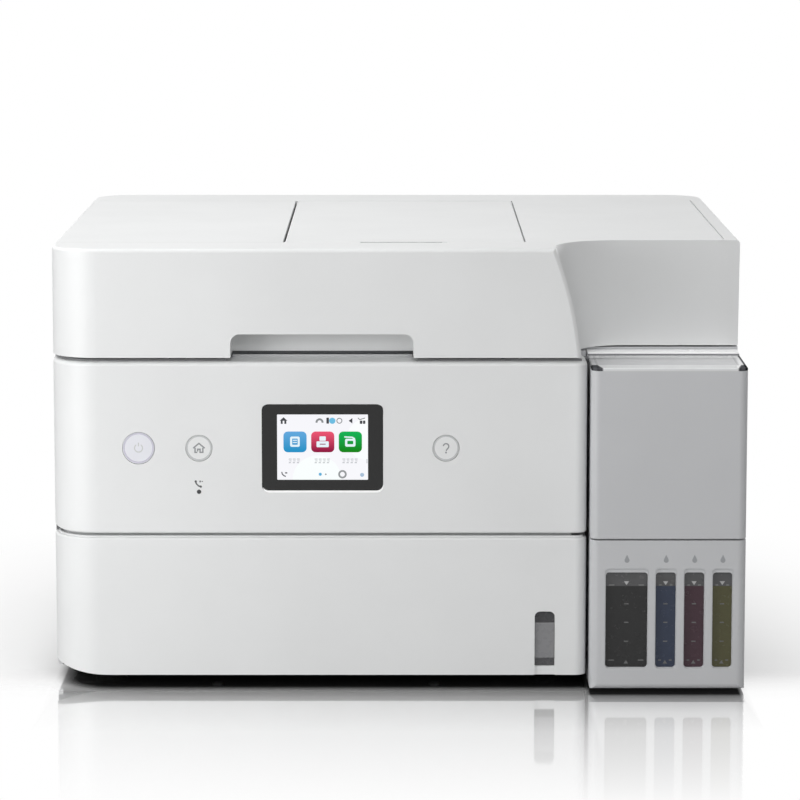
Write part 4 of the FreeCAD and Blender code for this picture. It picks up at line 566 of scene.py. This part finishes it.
WINDOW_FACE = reach("ink_tanks")[0][1]
TANK_FACE = reach("tank_housing")[0][1]
PRINT = 0.05
WINDOW_PRINT = 0.06
WIDE_DASH, NARROW_DASH = (8.0, 3.0), (2.9, 1.5)
WINDOWS = [(123.3, WIDE_DASH), (144.4, NARROW_DASH), (159.75, NARROW_DASH), (174.95, NARROW_DASH)]
FULL_TIP, REFILL_TIP = 58.9, 17.6
FULL_HALF, FULL_HIGH, REFILL_HALF, REFILL_HIGH = 1.4, 2.1, 1.2, 1.9
STEP_LEVELS, STEP_HALF, LINE_HALF = (48.6, 38.4, 28.0), 1.15, 0.3
DROP_Z, DROP_SIZE = 72.9, 1.35
full_top = FULL_TIP + FULL_HIGH
refill_foot = REFILL_TIP - REFILL_HIGH
full_marks, side_dashes, ticks, drops = [], [], [], []
for x, (aside, dash) in WINDOWS:
    full_marks.append([(x - FULL_HALF, full_top), (x, FULL_TIP), (x + FULL_HALF, full_top)])
    ticks.append([(x, REFILL_TIP), (x - REFILL_HALF, refill_foot), (x + REFILL_HALF, refill_foot)])
    for middle in (x - aside, x + aside):
        start, end = middle - dash / 2, middle + dash / 2
        side_dashes.append(bar(start, end, FULL_TIP - LINE_HALF, FULL_TIP + 0.4))
        ticks.append(bar(start, end, REFILL_TIP - LINE_HALF, REFILL_TIP + LINE_HALF))
    for z in STEP_LEVELS:
        ticks.append(bar(x - STEP_HALF, x + STEP_HALF, z - LINE_HALF, z + LINE_HALF))
    drops.append(drop(x, DROP_Z, DROP_SIZE))
full_print = printed("full_mark_white", tone(180, 180, 180))
tick_print = printed("tick_grey", tone(106, 106, 106))
dash_print = printed("dash_grey", tone(120, 120, 120))
drop_print = printed("drop_grey", tone(158, 160, 163))
flat_mark("full_marks", full_marks, WINDOW_FACE, WINDOW_PRINT, full_print, "base")
flat_mark("full_dashes", side_dashes, WINDOW_FACE, WINDOW_PRINT, dash_print, "base")
flat_mark("level_ticks", ticks, WINDOW_FACE, WINDOW_PRINT, tick_print, "base")
flat_mark("ink_drops", drops, TANK_FACE, PRINT, drop_print, "base")

# Filler caps: one coloured moulding per ink on the common hinge bar, satin, with a thumb tab.
# They are only seen under the raised lid.
dress(moulded("cap_black", tone(58, 58, 60), 0.35), "cap_bk")
dress(moulded("cap_cyan", tone(40, 140, 190), 0.35), "cap_c")
dress(moulded("cap_magenta", tone(190, 56, 110), 0.35), "cap_m")
dress(moulded("cap_yellow", tone(220, 190, 52), 0.35), "cap_y")

# Lid roof: a clear moulding clipped over the grey lid, with a crown strip behind it that carries
# painted light. Its front band is a painted highlight, the strip behind is the grey roof seen
# through it, the front corners carry painted shade, and fine dark lines run along both sides.


def greys(*levels):
    """Colour stops for plain shares of light, given as place and level."""
    return [(position, (level, level, level, 1.0)) for position, level in levels]


def slanted(tree, place, direction):
    node = tree.nodes.new("ShaderNodeVectorMath")
    node.operation = "DOT_PRODUCT"
    node.inputs[1].default_value = direction
    tree.links.new(place, node.inputs[0])
    return node.outputs["Value"]


def tinted(tree, first, second):
    """First colour seen through the second."""
    node = tree.nodes.new("ShaderNodeMix")
    node.data_type = "RGBA"
    node.blend_type = "MULTIPLY"
    node.inputs["Factor"].default_value = 1.0
    tree.links.new(first, node.inputs["A"])
    tree.links.new(second, node.inputs["B"])
    return node.outputs["Result"]


# Painted light on the crown: a near-white top with a faint glow as a painted reflection, and a grey
# lower front as a painted shadow line.
CROWN_LOW, CROWN_HIGH, CROWN_Y, CROWN_WIDE = 177.1, 178.9, -113.0, 11.2
crown_light_and_shade, tree, surface, place = shader("crown_painted_light")
height = rise(tree, axis(tree, place, "Z"), CROWN_LOW, CROWN_HIGH)
stops = [(0.0, tone(146, 147, 149)), (0.40, tone(156, 157, 159)), (0.45, tone(246, 246, 246)),
         (1.0, tone(252, 252, 252))]
surfaced(tree, surface, ramp(tree, height, stops), spread(tree, noise(tree, place, 120.0), 0.2, 0.3))
painted_glow = ramp(tree, height, greys((0.0, 0.0), (0.40, 0.02), (0.45, 0.17), (1.0, 0.2)))
tree.links.new(painted_glow, surface.inputs["Emission Color"])
surface.inputs["Emission Strength"].default_value = 1.0
crown_path = [(104.2, CROWN_Y), (187.3, CROWN_Y)]
lip("tower_crown", crown_path, CROWN_LOW, CROWN_HIGH, CROWN_WIDE, crown_light_and_shade, "base")

(ROOF_LEFT, ROOF_FRONT, _), (ROOF_RIGHT, _, _) = reach("lid_top")
ROOF_REAR = -120.5
SLANT = 0.18
roof, tree, surface, place = shader("clear_roof")
x, y = axis(tree, place, "X"), axis(tree, place, "Y")
# Painted highlight: the front band of the roof is lighter than the grey strip behind it.
stops = [(0.0, tone(222, 223, 224)), (0.02, tone(240, 241, 242)), (0.24, tone(236, 237, 238)),
         (0.26, tone(204, 205, 207)), (0.70, tone(208, 209, 211)), (1.0, tone(200, 201, 203))]
bands_and_painted_highlight = ramp(tree, rise(tree, y, ROOF_FRONT, ROOF_REAR), stops)
# Painted shade in the two front corners.
left_corner = short_of(tree, slanted(tree, place, (1.0, SLANT, 0.0)), 78.4, 0.8)
right_corner = short_of(tree, slanted(tree, place, (-1.0, SLANT, 0.0)), -213.3, 0.8)
shaded_corners = joined(tree, left_corner, right_corner, "MAXIMUM")
shaded_corners = joined(tree, shaded_corners, short_of(tree, y, -160.5, 1.0))
painted_corner_shade = mottled(tree, noise(tree, place, 120.0), tone(78, 79, 82), tone(92, 93, 96))
EDGE, LINE, BESIDE = tone(120, 120, 122), tone(215, 215, 216), tone(228, 228, 228)
CLEAR, RIM = tone(255, 255, 255), tone(250, 250, 250)
stops = [(0.0, EDGE), (0.012, CLEAR), (0.032, RIM), (0.035, LINE), (0.047, BESIDE), (0.05, CLEAR),
         (0.938, tone(254, 254, 254)), (0.941, LINE), (0.953, BESIDE), (0.957, CLEAR), (0.978, RIM),
         (0.983, EDGE)]
rims = ramp(tree, rise(tree, x, ROOF_LEFT, ROOF_RIGHT), stops)
seen_through = tinted(tree, blended(tree, shaded_corners, bands_and_painted_highlight, painted_corner_shade), rims)
surfaced(tree, surface, seen_through, spread(tree, noise(tree, place, 120.0), 0.18, 0.26))
dull = joined(tree, shaded_corners, past(tree, x, 185.9), "MAXIMUM")
tree.links.new(spread(tree, dull, 0.4, 0.0), surface.inputs["Coat Weight"])
tree.links.new(spread(tree, dull, 0.5, 0.0), surface.inputs["Specular IOR Level"])
surface.inputs["Coat Roughness"].default_value = 0.05
dress(roof, "lid_top")

# Control panel: white front with a glued-in black glass over the lit display. The picture lies
# on the glass as a thin bright layer: status row, three tiles with pictograms, page dots.
glass, tree, surface, place = shader("black_glass")
smear = noise(tree, place, 18.0, 4.0)
sheen = mottled(tree, smear, tone(42, 42, 42), tone(46, 46, 46))
surfaced(tree, surface, sheen, spread(tree, smear, 0.1, 0.2))
dress(glass, "screen_glass")


def lit(name, low, high, low_z, high_z):
    """Lit part of the picture, shading from one colour to another between two heights in millimetres."""
    material, tree, surface, place = shader(name)
    shine = ramp(tree, rise(tree, axis(tree, place, "Z"), low_z, high_z), [(0.0, low), (1.0, high)])
    tree.links.new(shine, surface.inputs["Emission Color"])
    surface.inputs["Emission Strength"].default_value = 1.0
    surface.inputs["Base Color"].default_value = (0.0, 0.0, 0.0, 1.0)
    surface.inputs["Roughness"].default_value = 0.3
    surface.inputs["Specular IOR Level"].default_value = 0.1
    return material


def stroke(points, width):
    """Outline of an open line of even width, mitred at its bends."""
    left = []
    right = []
    for i, (x, z) in enumerate(points):
        before = points[max(i - 1, 0)]
        after = points[min(i + 1, len(points) - 1)]
        d0 = (x - before[0], z - before[1]) if i else (after[0] - x, after[1] - z)
        d1 = (after[0] - x, after[1] - z) if i < len(points) - 1 else d0
        n0 = (-d0[1] / math.hypot(*d0), d0[0] / math.hypot(*d0))
        n1 = (-d1[1] / math.hypot(*d1), d1[0] / math.hypot(*d1))
        lean = 1.0 + n0[0] * n1[0] + n0[1] * n1[1]
        nx = (n0[0] + n1[0]) / max(lean, 0.4) * width / 2
        nz = (n0[1] + n1[1]) / max(lean, 0.4) * width / 2
        left.append((x + nx, z + nz))
        right.append((x - nx, z - nz))
    return left + right[::-1]


def moved(points, x, z):
    return [(x + across, z + up) for across, up in points]


SCREEN_LEFT, SCREEN_RIGHT, SCREEN_LOW, SCREEN_TOP = -65.2, -16.2, 114.9, 150.5
ON_GROUND, ON_TILE, ON_GLYPH = FRONT - 0.08, FRONT - 0.14, FRONT - 0.18
LAYER = 0.04
FULL_HEIGHT, TILE_HEIGHT, CAPTION_HEIGHT = (114, 150), (130, 141), (123, 127)
dress(lit("display_glow", tone(226, 236, 244), tone(240, 244, 248), *FULL_HEIGHT), "display")
border_print = printed("border_black", tone(44, 44, 44), 0.2)
# Painted highlight: a thin white band with a faint glow shows below the glass's lower edge.
glass_painted_highlight = printed("glass_painted_highlight", tone(252, 252, 252))
surface = glass_painted_highlight.node_tree.nodes["Principled BSDF"]
surface.inputs["Emission Color"].default_value = (1.0, 1.0, 1.0, 1.0)
surface.inputs["Emission Strength"].default_value = 0.12
screen = tile(SCREEN_LEFT, SCREEN_RIGHT, SCREEN_LOW, SCREEN_TOP, 0.4)
glass_edge = tile(-73.5, -8.0, 109.0, 156.1, 3.6)
ground_white = lit("ground_white", tone(248, 248, 252), tone(246, 246, 251), *FULL_HEIGHT)
flat_mark("glass_highlight_band", [tile(-73.1, -7.9, 107.9, 154.0, 3.6)], FRONT, 0.03, glass_painted_highlight, "panel")
flat_mark("glass_border", [(glass_edge, screen)], FRONT, 0.06, border_print, "panel")
flat_mark("picture_ground", [screen], FRONT, 0.08, ground_white, "panel")
bubbles = [disc(SCREEN_LEFT + 21.5, SCREEN_LOW, 13.2, 48, 0, 180),
           disc(SCREEN_RIGHT, 137.0, 11.5, 48, 90, 180)]
bubble_tint = lit("bubble_tint", tone(249, 254, 254), tone(252, 254, 255), 114, 148)
flat_mark("picture_bubbles", bubbles, ON_GROUND, 0.02, bubble_tint, "panel")

TILES = {"blue": (3.4, (24, 143, 196), (98, 168, 222)), "red": (18.35, (136, 4, 58), (236, 84, 114)),
         "green": (33.25, (14, 128, 4), (12, 178, 84))}
TILE_WIDE, TILE_LOW, TILE_TOP = 12.5, SCREEN_TOP - 20.6, SCREEN_TOP - 9.25
for name, (left, low, high) in TILES.items():
    start_x = SCREEN_LEFT + left
    colour = lit("tile_" + name, tone(*low), tone(*high), *TILE_HEIGHT)
    flat_mark("tile_" + name, [tile(start_x, start_x + TILE_WIDE, TILE_LOW, TILE_TOP, 2.4)], ON_GROUND, 0.06,
              colour, "panel")

copy_x, send_x, scan_x = (SCREEN_LEFT + left + 6.2 for left, low, high in TILES.values())
mid = SCREEN_TOP - 14.8
page = (tile(copy_x - 2.6, copy_x + 2.6, mid - 2.8, mid + 2.8, 0.9),
        tile(copy_x - 1.5, copy_x + 1.5, mid - 1.7, mid + 1.7, 0.3))
copy_glyph = [page, bar(copy_x - 1.1, copy_x + 1.1, mid + 0.5, mid + 1.0),
              bar(copy_x - 1.1, copy_x + 1.1, mid - 0.7, mid - 0.2)]
send_glyph = [tile(send_x - 3.3, send_x + 3.3, mid - 3.0, mid + 0.2, 0.5),
              tile(send_x - 1.7, send_x + 1.7, mid + 0.5, mid + 2.9, 0.4)]
bed = (tile(scan_x - 2.8, scan_x + 2.8, mid - 2.7, mid + 1.6, 0.9),
       tile(scan_x - 1.6, scan_x + 1.6, mid - 1.4, mid + 0.5, 0.3))
raised_lid = [(-3.2, 2.6), (1.0, 2.4), (2.5, 1.5)]
scan_glyph = [bed, stroke(moved(raised_lid, scan_x, mid), 0.7)]
glyph_white = lit("glyph_white", tone(228, 243, 250), tone(232, 246, 252), *TILE_HEIGHT)
slit_red = lit("slit_red", tone(142, 34, 78), tone(160, 48, 92), *TILE_HEIGHT)
flat_mark("tile_glyphs", copy_glyph + send_glyph + scan_glyph, ON_TILE, LAYER, glyph_white, "panel")
send_slit = bar(send_x - 1.6, send_x + 1.6, mid - 1.6, mid - 1.1)
flat_mark("send_slit", [send_slit], ON_GLYPH, 0.03, slit_red, "panel")

CAPTION_LINES = [(0.0, 1.6, 24.5, 24.1), (0.3, 1.5, 25.5, 25.15), (0.0, 1.2, 26.5, 26.1)]
captions = [bar(-16.95, -16.6, SCREEN_TOP - 26.6, SCREEN_TOP - 24.2)]
for left, count in ((6.2, 3), (20.2, 4), (35.2, 4)):
    for step in range(count):
        start_x = SCREEN_LEFT + left + step * 2.2
        captions += [bar(start_x + start, start_x + end, SCREEN_TOP - deep, SCREEN_TOP - high)
                     for start, end, deep, high in CAPTION_LINES]
caption_grey = lit("caption_grey", tone(158, 163, 168), tone(172, 176, 180), *CAPTION_HEIGHT)
flat_mark("caption_bars", captions, ON_GROUND, LAYER, caption_grey, "panel")

row_z, foot_z = SCREEN_TOP - 3.4, 117.9
house_x, phone_x = SCREEN_LEFT + 3.5, SCREEN_LEFT + 3.9
house = [[(house_x - 2.1, row_z), (house_x + 2.1, row_z), (house_x, row_z + 1.9)],
         bar(house_x - 1.5, house_x - 0.45, row_z - 1.7, row_z),
         bar(house_x + 0.45, house_x + 1.5, row_z - 1.7, row_z)]
pointer_x = SCREEN_LEFT + 40.6
pointer = [(pointer_x - 2.0, row_z), (pointer_x, row_z + 1.5), (pointer_x, row_z - 1.5)]
blocks = [tile(SCREEN_LEFT + 26.6, SCREEN_LEFT + 28.0, row_z - 1.6, row_z + 1.7, 0.3),
          tile(SCREEN_LEFT + 44.6, SCREEN_LEFT + 46.0, row_z - 1.7, row_z + 0.1, 0.3),
          tile(SCREEN_LEFT + 46.3, SCREEN_LEFT + 47.6, row_z - 1.7, row_z + 0.1, 0.3)]
receiver = [(-1.5, 1.3), (-1.2, 0.1), (-0.3, -0.8), (0.7, -1.2)]
phone = [stroke(moved(receiver, phone_x, foot_z), 0.6),
         bar(phone_x + 0.3, phone_x + 1.5, foot_z + 0.4, foot_z + 1.1)]
status_dark = lit("status_dark", tone(84, 86, 90), tone(68, 70, 74), *FULL_HEIGHT)
flat_mark("status_marks", house + [pointer] + blocks + phone, ON_GROUND, LAYER, status_dark, "panel")
tick = [(43.6, 1.6), (44.6, 0.6), (47.4, 1.5)]
soft_marks = [stroke(disc(SCREEN_LEFT + 22.9, row_z - 0.8, 1.6, 16, -10, 200), 1.1),
              disc(SCREEN_LEFT + 26.2, foot_z, 0.45, 16), ring(SCREEN_LEFT + 35.2, foot_z, 2.3, 1.3),
              ring(SCREEN_LEFT + 33.6, row_z, 1.6, 1.1),
              stroke(moved(tick, SCREEN_LEFT, row_z), 0.5)]
status_grey = lit("status_grey", tone(150, 153, 155), tone(138, 141, 143), *FULL_HEIGHT)
flat_mark("status_soft", soft_marks, ON_GROUND, LAYER, status_grey, "panel")
pale_blue = lit("pale_blue", tone(158, 182, 208), tone(176, 198, 220), 116, 119)
flat_mark("status_pale", [disc(SCREEN_LEFT + 45.8, 117.6, 1.1, 24)], ON_GROUND, LAYER, pale_blue, "panel")
blue_marks = [disc(SCREEN_LEFT + 23.2, foot_z, 0.85, 24), disc(SCREEN_LEFT + 29.8, row_z, 1.7, 28)]
status_blue = lit("status_blue", tone(92, 172, 214), tone(110, 190, 226), *FULL_HEIGHT)
flat_mark("status_blue", blue_marks, ON_GROUND, LAYER, status_blue, "panel")

# Keys: three white push keys in the panel, each with a printed ring and sign. The power key is
# lit from behind, so its ring is a cool violet and its face a little brighter.


def middle_x(node):
    low, high = reach(node)
    return round((low[0] + high[0]) / 2, 3)


dress(moulded("key_white", tone(230, 231, 231), 0.4, 0.08), "key_home", "key_help")
dress(moulded("power_white", tone(228, 229, 235), 0.4, 0.08), "key_power")
sign_grey = printed("sign_grey", tone(146, 148, 150))
ring_grey = printed("ring_grey", tone(197, 199, 200))
ring_violet = printed("ring_violet", tone(201, 199, 213))
sign_pale = printed("sign_pale", tone(206, 208, 207))
KEY_Z = 132.25
POWER_X, HOME_X, HELP_X = middle_x("key_power"), middle_x("key_home"), middle_x("key_help")
RING_OUTER, RING_INNER = 6.93, 6.08
flat_mark("power_ring", [ring(POWER_X, KEY_Z, 8.28, 7.43, 72)], FRONT, PRINT, ring_violet, "key_power")
power_sign = [stroke(disc(POWER_X, KEY_Z - 0.1, 2.15, 30, 125, 290), 0.6),
              bar(POWER_X - 0.3, POWER_X + 0.3, KEY_Z + 0.9, KEY_Z + 2.9)]
flat_mark("power_sign", power_sign, FRONT, PRINT, sign_pale, "key_power")
home_ring, help_ring = (ring(x, KEY_Z, RING_OUTER, RING_INNER, 64) for x in (HOME_X, HELP_X))
flat_mark("home_ring", [home_ring], FRONT, PRINT, ring_grey, "key_home")
SIGN_LINE = 0.75
gable = [(-3.1, -0.1), (0.0, 2.5), (3.1, -0.1)]
left_wall = [(-0.9, -2.4), (-2.1, -2.4), (-2.1, 0.1)]
right_wall = [(2.1, 0.1), (2.1, -2.4), (0.6, -2.4), (0.6, -0.7), (-0.7, -0.7), (-0.7, -1.9)]
home_lines = (gable, left_wall, right_wall)
home_sign = [stroke(moved(line, HOME_X, KEY_Z), SIGN_LINE) for line in home_lines]
flat_mark("home_sign", home_sign, FRONT, PRINT, sign_grey, "key_home")
flat_mark("help_ring", [help_ring], FRONT, PRINT, ring_grey, "key_help")
hook = disc(HELP_X, KEY_Z + 0.9, 1.45, 18, 175, -215) + [(HELP_X, KEY_Z - 1.5)]
help_sign = [stroke(hook, 0.7), disc(HELP_X, KEY_Z - 2.5, 0.5, 18)]
flat_mark("help_sign", help_sign, FRONT, PRINT, sign_grey, "key_help")

# Call light: a small round lens of smoked plastic, pressed into a hole of the panel from behind.
# A dark handset is pad-printed on the white face above it.
dress(moulded("lens_dark", tone(66, 66, 68), 0.2, 0.02, 800.0, 0.6), "status_led")
CALL_X, CALL_Z = -107.3, 112.6
grip = [(-2.1, 1.8), (-1.7, 0.2), (-0.6, -1.0), (0.9, -1.6)]
handset = [stroke(moved(grip, CALL_X, CALL_Z), SIGN_LINE),
           disc(CALL_X - 1.95, CALL_Z + 1.35, 0.62, 18), disc(CALL_X + 0.75, CALL_Z - 1.45, 0.62, 18),
           bar(CALL_X, CALL_X + 0.9, CALL_Z + 0.9, CALL_Z + 1.8),
           bar(CALL_X + 1.2, CALL_X + 2.0, CALL_Z + 1.1, CALL_Z + 1.6)]
flat_mark("handset_sign", handset, FRONT, PRINT, printed("sign_dark", tone(112, 113, 115)), "panel")

# Scanner: white tub, painted dark inside so that no light strays, with a light grey frame round
# the flat glass and the strip glass, and the black sensor bar that rides on the steel rail.


def dark_inside(tree, place):
    x, y, z = (axis(tree, place, letter) for letter in "XYZ")
    bay = joined(tree, past(tree, y, -124.7), short_of(tree, x, 101.5))
    inner = joined(tree, bay, past(tree, y, -105.0), "MAXIMUM")
    right_corner = short_of(tree, joined(tree, y, x, "ADD"), 344.5)
    left_corner = short_of(tree, joined(tree, y, x, "SUBTRACT"), 344.5)
    walls = (past(tree, x, -186.2), short_of(tree, x, 186.2), short_of(tree, y, 165.0), past(tree, z, 142.8))
    for side in walls + (right_corner, left_corner):
        inner = joined(tree, inner, side)
    return inner


tub = moulded("scanner_tub", WHITE)
two_tone(tub, tone(60, 61, 63), dark_inside)
dress(tub, "scanner_tub")
dress(moulded("scanner_frame", tone(206, 207, 209), 0.42, 0.1), "scanner_frame")
flat_glass, tree, surface, place = shader("scan_glass")
haze = noise(tree, place, 25.0, 3.0)
tint = mottled(tree, haze, tone(240, 246, 244), tone(246, 250, 249))
surfaced(tree, surface, tint, spread(tree, haze, 0.02, 0.05))
surface.inputs["Transmission Weight"].default_value = 1.0
surface.inputs["IOR"].default_value = 1.5
dress(flat_glass, "scan_glass")
dress(black_works, "scan_carriage")

# Document cover underside: grey base plate screwed into the cover, with the white foam-backed
# sheet that presses the page down, and the grey feeder frame above it inside the lid.
dress(moulded("cover_base", tone(178, 179, 182), 0.5, 0.1), "cover_base")
mat, tree, surface, place = shader("document_sheet")
fibre = noise(tree, place, 900.0, 5.0, 0.7)
weave = mottled(tree, fibre, tone(232, 232, 230), tone(242, 242, 241))
surfaced(tree, surface, weave, spread(tree, fibre, 0.6, 0.8))
relief(tree, surface, fibre, 0.2, 0.0001)
dress(mat, "document_mat")
dress(moulded("feeder_grey", tone(138, 139, 142), 0.45, 0.1), "adf_frame")

# Studio: a white polished floor under a white sky, lit by six soft boxes. The floor mirrors the
# front, more weakly towards the camera, and glows white for the camera away from the printer.
# Beside the printer the glow is cut back by place as painted shade, so that the lamp-lit floor
# with its soft shadow round the feet shows; under the printer's edges lies a painted contact
# shadow, and just before the tank unit a painted darker shadow.
scene = bpy.context.scene
scene.view_settings.view_transform = "Standard"
world = bpy.data.worlds.new("white_studio")
scene.world = world
world.use_nodes = True
tree = world.node_tree
tree.nodes.clear()


def mixed(tree, share, first, second):
    node = tree.nodes.new("ShaderNodeMixShader")
    tree.links.new(share, node.inputs["Fac"])
    tree.links.new(first.outputs[0], node.inputs[1])
    tree.links.new(second.outputs[0], node.inputs[2])
    return node


def white_sky(tree, strength):
    node = tree.nodes.new("ShaderNodeBackground")
    node.inputs["Color"].default_value = (1.0, 1.0, 1.0, 1.0)
    node.inputs["Strength"].default_value = strength
    return node


rays = tree.nodes.new("ShaderNodeLightPath")
seen = joined(tree, rays.outputs["Is Camera Ray"], rays.outputs["Is Glossy Ray"], "MAXIMUM")
seen = joined(tree, seen, rays.outputs["Is Transmission Ray"], "MAXIMUM")
output = tree.nodes.new("ShaderNodeOutputWorld")
sky = mixed(tree, seen, white_sky(tree, 0.257), white_sky(tree, 1.0))
tree.links.new(sky.outputs[0], output.inputs["Surface"])

FLOOR_SIDE, FLOOR_NEAR, FLOOR_FAR = 6.0, -4.0, 9.0
floor_mesh = bpy.data.meshes.new("floor")
corners = [(-FLOOR_SIDE, FLOOR_NEAR, 0), (FLOOR_SIDE, FLOOR_NEAR, 0), (FLOOR_SIDE, FLOOR_FAR, 0),
           (-FLOOR_SIDE, FLOOR_FAR, 0)]
floor_mesh.from_pydata(corners, [], [(0, 1, 2, 3)])
floor = bpy.data.objects.new("floor", floor_mesh)
scene.collection.objects.link(floor)
floor_white = bpy.data.materials.new("floor_white")
floor_white.use_nodes = True
tree = floor_white.node_tree
tree.nodes.remove(tree.nodes["Principled BSDF"])
place = tree.nodes.new("ShaderNodeTexCoord").outputs["Object"]
seen = tree.nodes.new("ShaderNodeLightPath").outputs["Is Camera Ray"]
x, y = axis(tree, place, "X"), axis(tree, place, "Y")


def apart(tree, value, operation, other=(0.0, 0.0, 0.0)):
    node = tree.nodes.new("ShaderNodeVectorMath")
    node.operation = operation
    node.inputs[1].default_value = other
    tree.links.new(value, node.inputs[0])
    return node.outputs["Value" if operation == "LENGTH" else "Vector"]


def plain(tree, kind, level, roughness=None):
    """Plain floor layer of one grey."""
    node = tree.nodes.new(kind)
    node.inputs["Color"].default_value = (level, level, level, 1.0)
    if roughness is not None:
        node.inputs["Roughness"].default_value = roughness
    return node


FOOTPRINT_MIDDLE, FOOTPRINT_HALF = (0.0, 0.005, 0.0), (0.155, 0.14, 1.0)
MIRROR_END = -420
spans = apart(tree, apart(tree, place, "SUBTRACT", FOOTPRINT_MIDDLE), "ABSOLUTE")
outside = apart(tree, apart(tree, spans, "SUBTRACT", FOOTPRINT_HALF), "MAXIMUM")
away = apart(tree, outside, "LENGTH")
aside = axis(tree, spans, "X")
# Painted shade: beside the printer the white glow is cut back by place, most near its front and left.
shade = ramp(tree, rise(tree, y, -80, 320), greys((0.0, 1.0), (0.7, 0.22), (1.0, 0.0)))
for layer in (rise(tree, x, -200, 200, 1.0, 0.55), rise(tree, aside, 190, 290, 1.0, 0.0),
              rise(tree, y, -190, -130)):
    shade = joined(tree, shade, layer)
contact = joined(tree, rise(tree, away, 26, 130), rise(tree, aside, 183, 190), "MAXIMUM")
glow_share = joined(tree, contact, spread(tree, shade, 1.0, 0.0))
mirror = ramp(tree, rise(tree, y, MIRROR_END, -100), greys((0.0, 0.03), (0.78, 0.7), (0.94, 0.1)))
# Painted contact shadow: under the printer's edges the floor is nearly black for the camera.
seen_floor = plain(tree, "ShaderNodeBsdfDiffuse", 0.8)
painted_contact_shadow = ramp(tree, rise(tree, away, 22, 34), greys((0.0, 0.02), (1.0, 0.8)))
tree.links.new(painted_contact_shadow, seen_floor.inputs["Color"])
lit_floor = mixed(tree, seen, plain(tree, "ShaderNodeBsdfDiffuse", 0.5), seen_floor)
glow = plain(tree, "ShaderNodeEmission", 1.0)
pale_floor = mixed(tree, joined(tree, seen, glow_share), lit_floor, glow)
polish = plain(tree, "ShaderNodeBsdfGlossy", 1.0, 0.06)
polished_floor = mixed(tree, joined(tree, seen, mirror), pale_floor, polish)
# Painted shadow before the tank unit: a black strip, then a grey band, then a faint white lift.
before_tank = joined(tree, rise(tree, x, 101.5, 104), rise(tree, x, 184.3, 186.3, 1.0, 0.0))
ahead = rise(tree, y, MIRROR_END, -120)
painted_light_before_tank = plain(tree, "ShaderNodeEmission", 1.0)
before_tank_tone = ramp(tree, ahead, greys((0.0, 1.0), (0.742, 1.0), (0.748, 0.004)))
tree.links.new(before_tank_tone, painted_light_before_tank.inputs["Color"])
before_tank_share = ramp(tree, ahead, greys((0.0, 0.0), (0.5, 0.26), (0.66, 0.22), (0.741, 0.04), (0.748, 0.42),
                                     (0.796, 0.46), (0.813, 0.97), (0.93, 0.97), (0.97, 0.0)))
before_tank_mask = joined(tree, joined(tree, before_tank_share, before_tank), seen)
floor_look = mixed(tree, before_tank_mask, polished_floor, painted_light_before_tank)
tree.links.new(floor_look.outputs[0], tree.nodes["Material Output"].inputs["Surface"])
floor_mesh.materials.append(floor_white)


def soft_box(name, place, aim, size, power):
    lamp = bpy.data.lights.new(name, "AREA")
    lamp.shape = "RECTANGLE"
    lamp.size, lamp.size_y = size
    lamp.energy = power
    box = bpy.data.objects.new(name, lamp)
    box.location = place
    toward = [a - p for a, p in zip(aim, place)]
    flat = math.hypot(toward[0], toward[1])
    box.rotation_euler = (math.atan2(flat, -toward[2]), 0, math.atan2(-toward[0], toward[1]))
    scene.collection.objects.link(box)


soft_box("left_soft_box", (-0.55, -0.52, 0.22), (-0.05, -0.16, 0.12), (0.35, 0.35), 1.70)
soft_box("low_soft_box", (-0.42, -0.86, 0.3), (-0.02, -0.16, 0.12), (0.3, 0.3), 0.385)
soft_box("top_soft_box", (-0.35, -0.05, 0.95), (-0.05, 0.0, 0.2), (0.6, 0.6), 4.4)
soft_box("right_soft_box", (0.75, -1.5, 0.55), (0.1, -0.1, 0.12), (0.9, 0.9), 3.4)
soft_box("rear_soft_box", (1.0, 1.3, 0.35), (0.0, 0.0, 0.12), (0.9, 0.6), 7.0)
soft_box("front_soft_box", (0.0, -1.7, 1.0), (0.05, -0.1, 0.12), (1.2, 0.8), 5.4)

# Camera: a long lens straight in front of the printer, about two metres away and a little above
# it, tipped slightly down, so that upright edges stay nearly parallel.
camera = bpy.data.cameras.new("front_camera")
camera.lens = 166.9
camera.sensor_width = 36.0
camera.clip_end = 50.0
view = bpy.data.objects.new("front_camera", camera)
view.location = (0.00106, -2.138, 0.4414)
view.rotation_euler = (math.radians(81.852), 0.0, 0.0)
scene.collection.objects.link(view)
scene.camera = view
